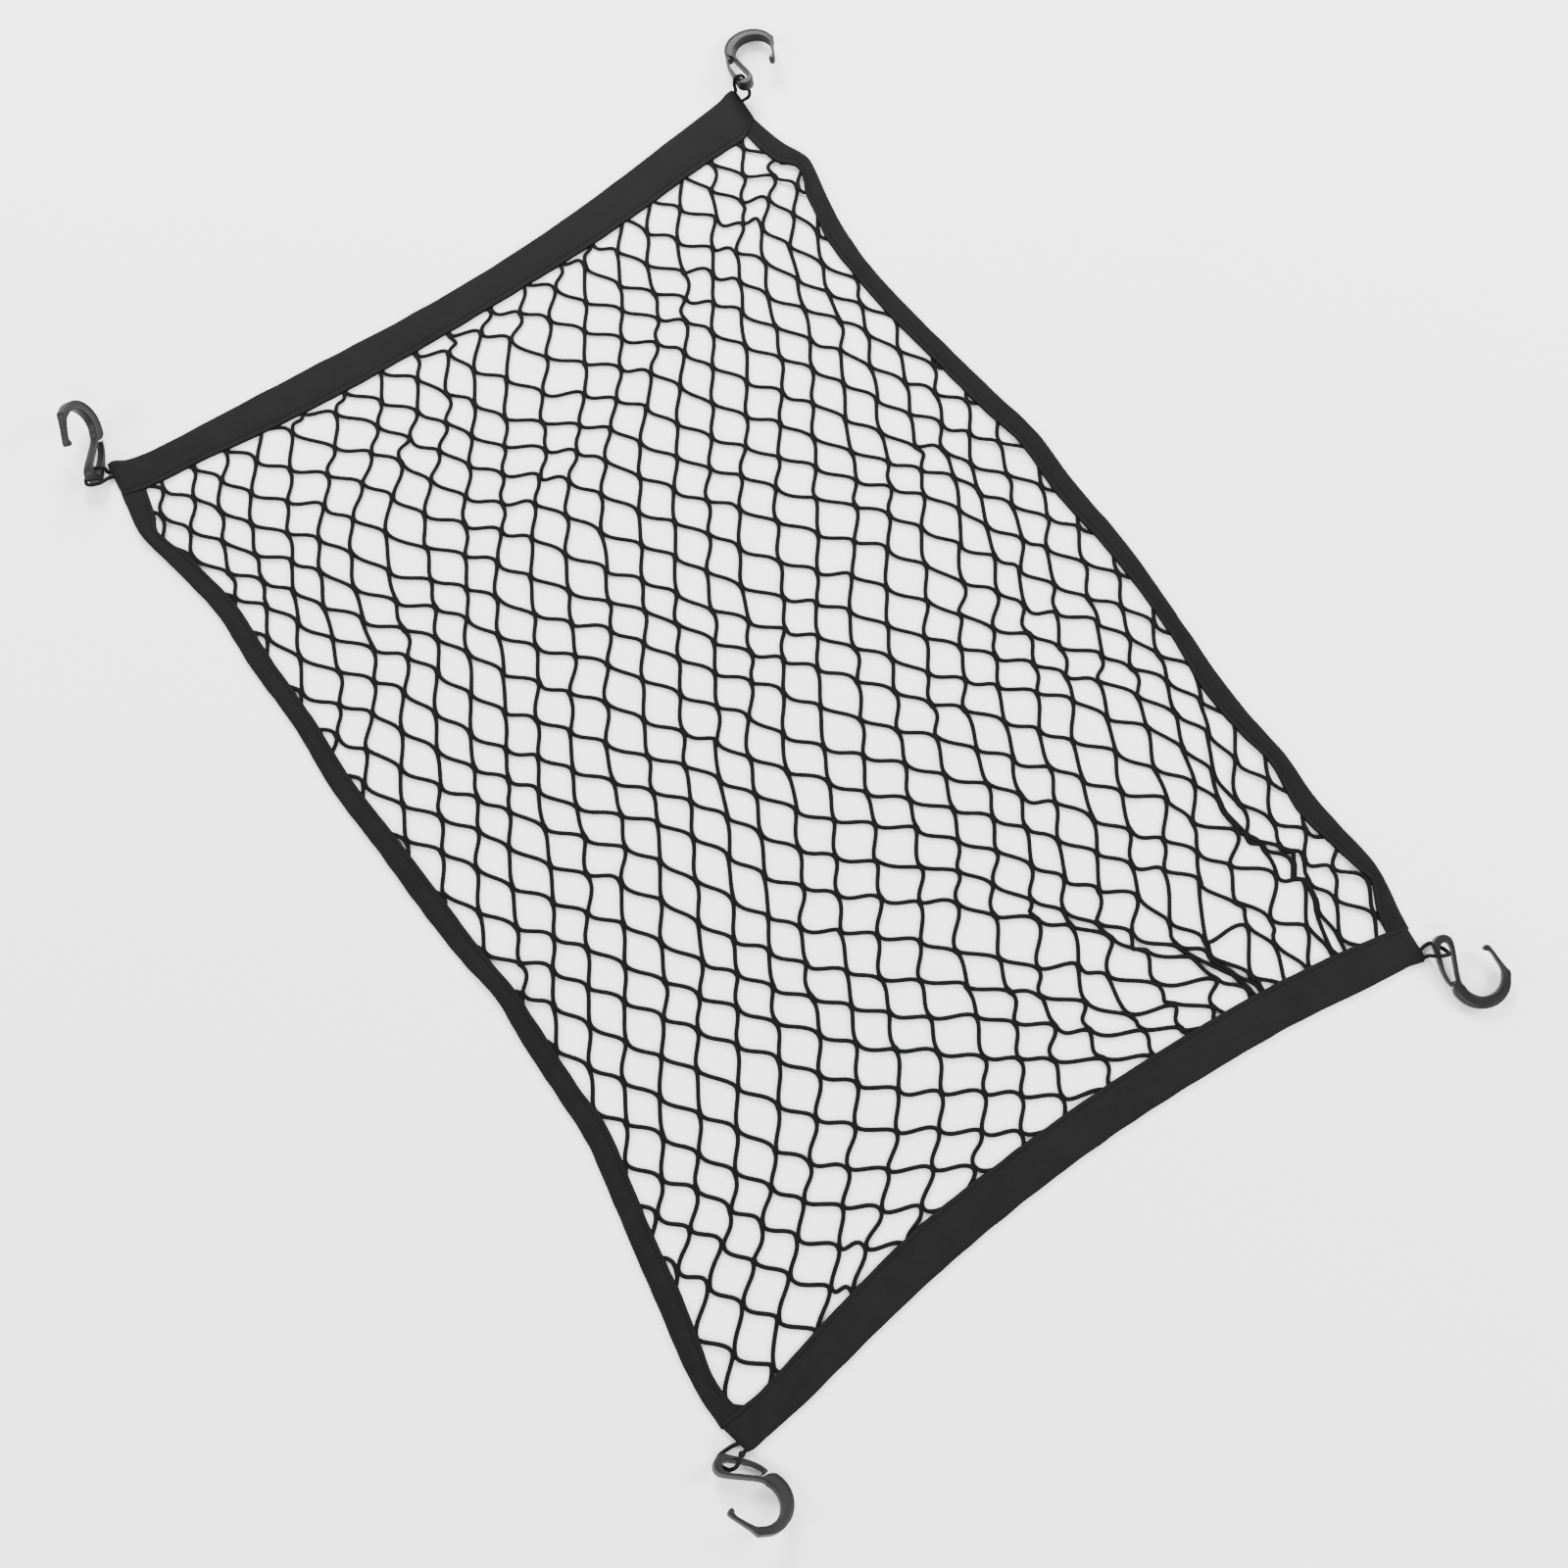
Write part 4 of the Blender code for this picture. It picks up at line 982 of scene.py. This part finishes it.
# ---- folded cloth
def fold_section(width, cloth, relief, press, base):
    """Section of cloth folded over the net, at each station of a strip.

    Outer skin from the top layer's inner edge, over the stitched groove and the crown to
    the fold, a half circle, and back under to the inner edge; inner skin a cloth's
    thickness inside it.  Returns distance in from the fold and height, and the distance
    round the section.
    """
    full, layer, seam = ((2 * cloth.thickness + cloth.slot) / MM, cloth.thickness / MM,
                         cloth.seam_inset / MM)
    radius = full / 2
    width = width[:, None]
    level = 0 * width
    from_edge = TOP_PLACES * seam / DRAWN_INSET
    body = radius + BODY_SHARES * (width - from_edge[-1] - radius)
    top_in = np.hstack([width - from_edge, body])
    sink = (SEAM_SINK * np.exp(-((from_edge - seam) / SEAM_SPREAD) ** 2)
            + EDGE_SINK * np.exp(-from_edge / EDGE_SPREAD))
    top_up = np.hstack([full - sink + level, full + BODY_CROWN + level])
    top_up += relief * np.repeat([0.5, 1.0], [len(TOP_PLACES), len(BODY_SHARES)])
    under_in = np.hstack([0.5 * width, width - seam, width])

    def skin(inset):
        """The outer skin, or one a little way inside it."""
        fold_in = radius - (radius - inset) * np.cos(FOLD_TURN) + level
        fold_up = radius + (radius - inset) * np.sin(FOLD_TURN) + level
        return (np.hstack([top_in, fold_in, under_in]),
                np.hstack([top_up - inset, fold_up, 0 * under_in + inset]))

    (outer_in, outer_up), (inner_in, inner_up) = skin(0.0), skin(layer)
    inward = np.hstack([outer_in, inner_in[:, ::-1]])
    upward = np.hstack([outer_up, inner_up[:, ::-1]]) * (1 - press[:, None]) + base[:, None]
    outer_round = run_lengths(np.stack([outer_in[0], outer_up[0]], axis=1))
    around = np.concatenate([outer_round, outer_round[::-1] + CLOTH_EDGE, [0.0]])
    return inward, upward, around


def strip_part(outer, inner, cloth, lift, press, base, seed):
    """Folded strip: the section stands between an outer and an inner plan line, and its
    top layer heaves by slow waves along the strip."""
    across = inner - outer
    width = norm(across, axis=1)
    inward = across / width[:, None]
    length = run_lengths((outer + inner) / 2)
    heave = waves(length, *SLOW_HEAVE, seed) + waves(length, *QUICK_HEAVE, seed + 1)
    distance, height, around = fold_section(width, cloth, heave[:, None], press, base)
    plan = outer[:, None] + inward[:, None] * distance[..., None]
    rings = np.concatenate([plan, (height + lift[:, None])[..., None]], axis=-1)
    return swept(rings, length, around)


def hem_lines(rows, seed):
    """Outer and inner plan lines of a hem band, each a table's curve with a faint ripple."""
    first, last = rows[0].across, rows[-1].across
    y = np.linspace(first, last, int((last - first) / HEM_STEP) + 1)
    skew = from_table(rows, "skew", y)
    lines = []
    for number, (edge, shift) in enumerate((("outer", 0.0), ("inner", skew))):
        ripple = waves(y, *HEM_RIPPLE, seed + number)
        lines.append(np.column_stack([from_table(rows, edge, y) + ripple, y + shift]))
    return lines


def hem_stand(outer, inner):
    """Lift, press and base of a hem band: flat, and a little pressed at both ends."""
    length = run_lengths((outer + inner) / 2)
    press = HEM_END_PRESS * (1 - eased(from_ends(length) / HEM_END_REACH))
    flat = np.zeros_like(press)
    return flat, press, flat


def meets_hem(rows, edge, hem, tuck, rounds=25):
    """Where one edge of a binding has gone under the inner edge of a hem band."""
    x = float(from_table(hem, "inner", 0.0))
    for _ in range(rounds):
        x = float(from_table(hem, "inner", from_table(rows, edge, x))) + tuck
    return x


def binding_lines(rows, seed):
    """Outer and inner plan lines of a binding, tucked into the hem bands at both ends."""
    lines = []
    for number, edge in enumerate(("outer", "inner")):
        first = meets_hem(rows, edge, HEM_LEFT, -TUCK)
        last = meets_hem(rows, edge, HEM_RIGHT, TUCK)
        x = np.linspace(first, last, BINDING_POINTS)
        ripple = waves(x, *BINDING_RIPPLE, seed + number)
        lines.append(np.column_stack([x, from_table(rows, edge, x) + ripple]))
    return lines


def binding_stand(rows, outer, inner, cloth):
    """Lift, press and base of a binding at its stations: it puckers up where the table
    says, and is pressed thin at both ends, where it goes between the hem's layers."""
    length = run_lengths((outer + inner) / 2)
    lift = np.clip(from_table(rows, "lift", outer[:, 0]), 0.0, None)
    tucked = 1 - eased(from_ends(length) / BINDING_END_REACH)
    return (lift * (1 - tucked), BINDING_END_PRESS * tucked,
            (cloth.thickness / MM + TUCK_GAP) * tucked)


def declare_strip(outer, inner):
    """A folded strip was cut twice as wide as it shows."""
    width = 2 * norm(inner - outer, axis=1).mean() * MM
    length = run_lengths((outer + inner) / 2)[-1] * MM


HEMS = {"left": (HEM_LEFT, 101), "right": (HEM_RIGHT, 202)}
BINDINGS = {"far": (BINDING_FAR, 303), "near": (BINDING_NEAR, 404)}


class NetHems(bpy.types.Operator):
    """Make the wide hem bands along the short edges"""

    bl_idname = "cargo_net.hems"
    bl_label = "Hem bands"

    def execute(self, context):
        cloth = context.scene.net_cloth
        finish = cloth_finish("hem cloth", cloth.hem_colour, cloth.weave_pitch)
        for side, (rows, seed) in HEMS.items():
            outer, inner = hem_lines(rows, seed)
            part = strip_part(outer, inner, cloth, *hem_stand(outer, inner), seed)
            band = add_piece("hem_" + side, [part], finish)
            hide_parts("hem_band_" + side)
            declare_strip(outer, inner)
        return {"FINISHED"}


class NetBindings(bpy.types.Operator):
    """Make the narrow bindings along the long edges"""

    bl_idname = "cargo_net.bindings"
    bl_label = "Edge bindings"

    def execute(self, context):
        cloth = context.scene.net_cloth
        finish = cloth_finish("binding cloth", cloth.binding_colour, cloth.weave_pitch)
        for side, (rows, seed) in BINDINGS.items():
            outer, inner = binding_lines(rows, seed)
            part = strip_part(outer, inner, cloth, *binding_stand(rows, outer, inner, cloth), seed)
            binding = add_piece("binding_" + side, [part], finish)
            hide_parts("edge_binding_" + side)
            declare_strip(outer, inner)
        return {"FINISHED"}


def sew(name, outer, inner, lift, finish, cloth):
    """A row of stitches: each is a tube on an arc that rises from the cloth and goes back
    into it, height sin(pi t) of its length."""
    inward = (inner - outer) / norm(inner - outer, axis=1, keepdims=True)
    top = (2 * cloth.thickness + cloth.slot) / MM - STITCH_SEAT
    seam = np.column_stack([inner - inward * cloth.seam_inset / MM, top + lift])
    stitch, gap = cloth.stitch / MM, cloth.stitch_gap / MM
    last = run_lengths(seam)[-1] - stitch - SEAM_MARGIN
    t = np.linspace(0.0, 1.0, STITCH_POINTS)
    lines = walked(seam, np.arange(SEAM_MARGIN, last, stitch + gap)[:, None] + stitch * t)
    lines[..., 2] += STITCH_RISE * np.sin(np.pi * t) - STITCH_SINK
    height = np.full(STITCH_POINTS, THREAD)
    parts = [tube(line, THREAD, height, THREAD_SIDES) for line in lines]
    add_piece(name, parts, finish)


class NetSeams(bpy.types.Operator):
    """Make the rows of stitches along the folded edges"""

    bl_idname = "cargo_net.seams"
    bl_label = "Seams"

    def execute(self, context):
        cloth = context.scene.net_cloth
        finish = cord_finish("sewing thread", cloth.binding_colour, pitch=0.0006, slant=2500.0,
                             relief=0.00005)
        for side, (rows, seed) in HEMS.items():
            outer, inner = hem_lines(rows, seed)
            flat = np.zeros(len(outer))
            sew("hem_stitches_" + side, outer, inner, flat, finish, cloth)
        for side, (rows, seed) in BINDINGS.items():
            outer, inner = binding_lines(rows, seed)
            lift, press, _ = binding_stand(rows, outer, inner, cloth)
            shown = press < OPEN_PRESS
            sew("binding_stitches_" + side, outer[shown], inner[shown], lift[shown], finish,
                cloth)
        return {"FINISHED"}


# ---- add-on
class NetPanel(bpy.types.Panel):
    """Sidebar panel with every step of the net"""

    bl_idname = "VIEW3D_PT_cargo_net"
    bl_label = "Cargo net"
    bl_space_type = "VIEW_3D"
    bl_region_type = "UI"
    bl_category = "Cargo net"

    def draw(self, context):
        for operator in OPERATORS:
            self.layout.operator(operator.bl_idname, text=operator.bl_label)
        for name, settings in SETTINGS.items():
            box = self.layout.box()
            box.label(text=name.removeprefix("net_").capitalize())
            for value in settings.__annotations__:
                box.prop(getattr(context.scene, name), value)


SETTINGS = {"net_yarn": YarnSettings, "net_cloth": ClothSettings, "net_hooks": HookSettings,
            "net_stage": StageSettings}
OPERATORS = (NetStage, NetLoops, NetYarn, NetHems, NetBindings, NetSeams, NetHooks)
CLASSES = (*SETTINGS.values(), *OPERATORS, NetPanel)


def register():
    for made in CLASSES:
        bpy.utils.register_class(made)
    for name, settings in SETTINGS.items():
        setattr(bpy.types.Scene, name, PointerProperty(type=settings))


def unregister():
    for name in SETTINGS:
        delattr(bpy.types.Scene, name)
    for made in reversed(CLASSES):
        bpy.utils.unregister_class(made)


def main():
    register()
    bpy.ops.cargo_net.stage()
    bpy.ops.cargo_net.loops()
    bpy.ops.cargo_net.net()
    bpy.ops.cargo_net.hems()
    bpy.ops.cargo_net.bindings()
    bpy.ops.cargo_net.seams()
    bpy.ops.cargo_net.hooks()


if __name__ == "__main__":
    main()
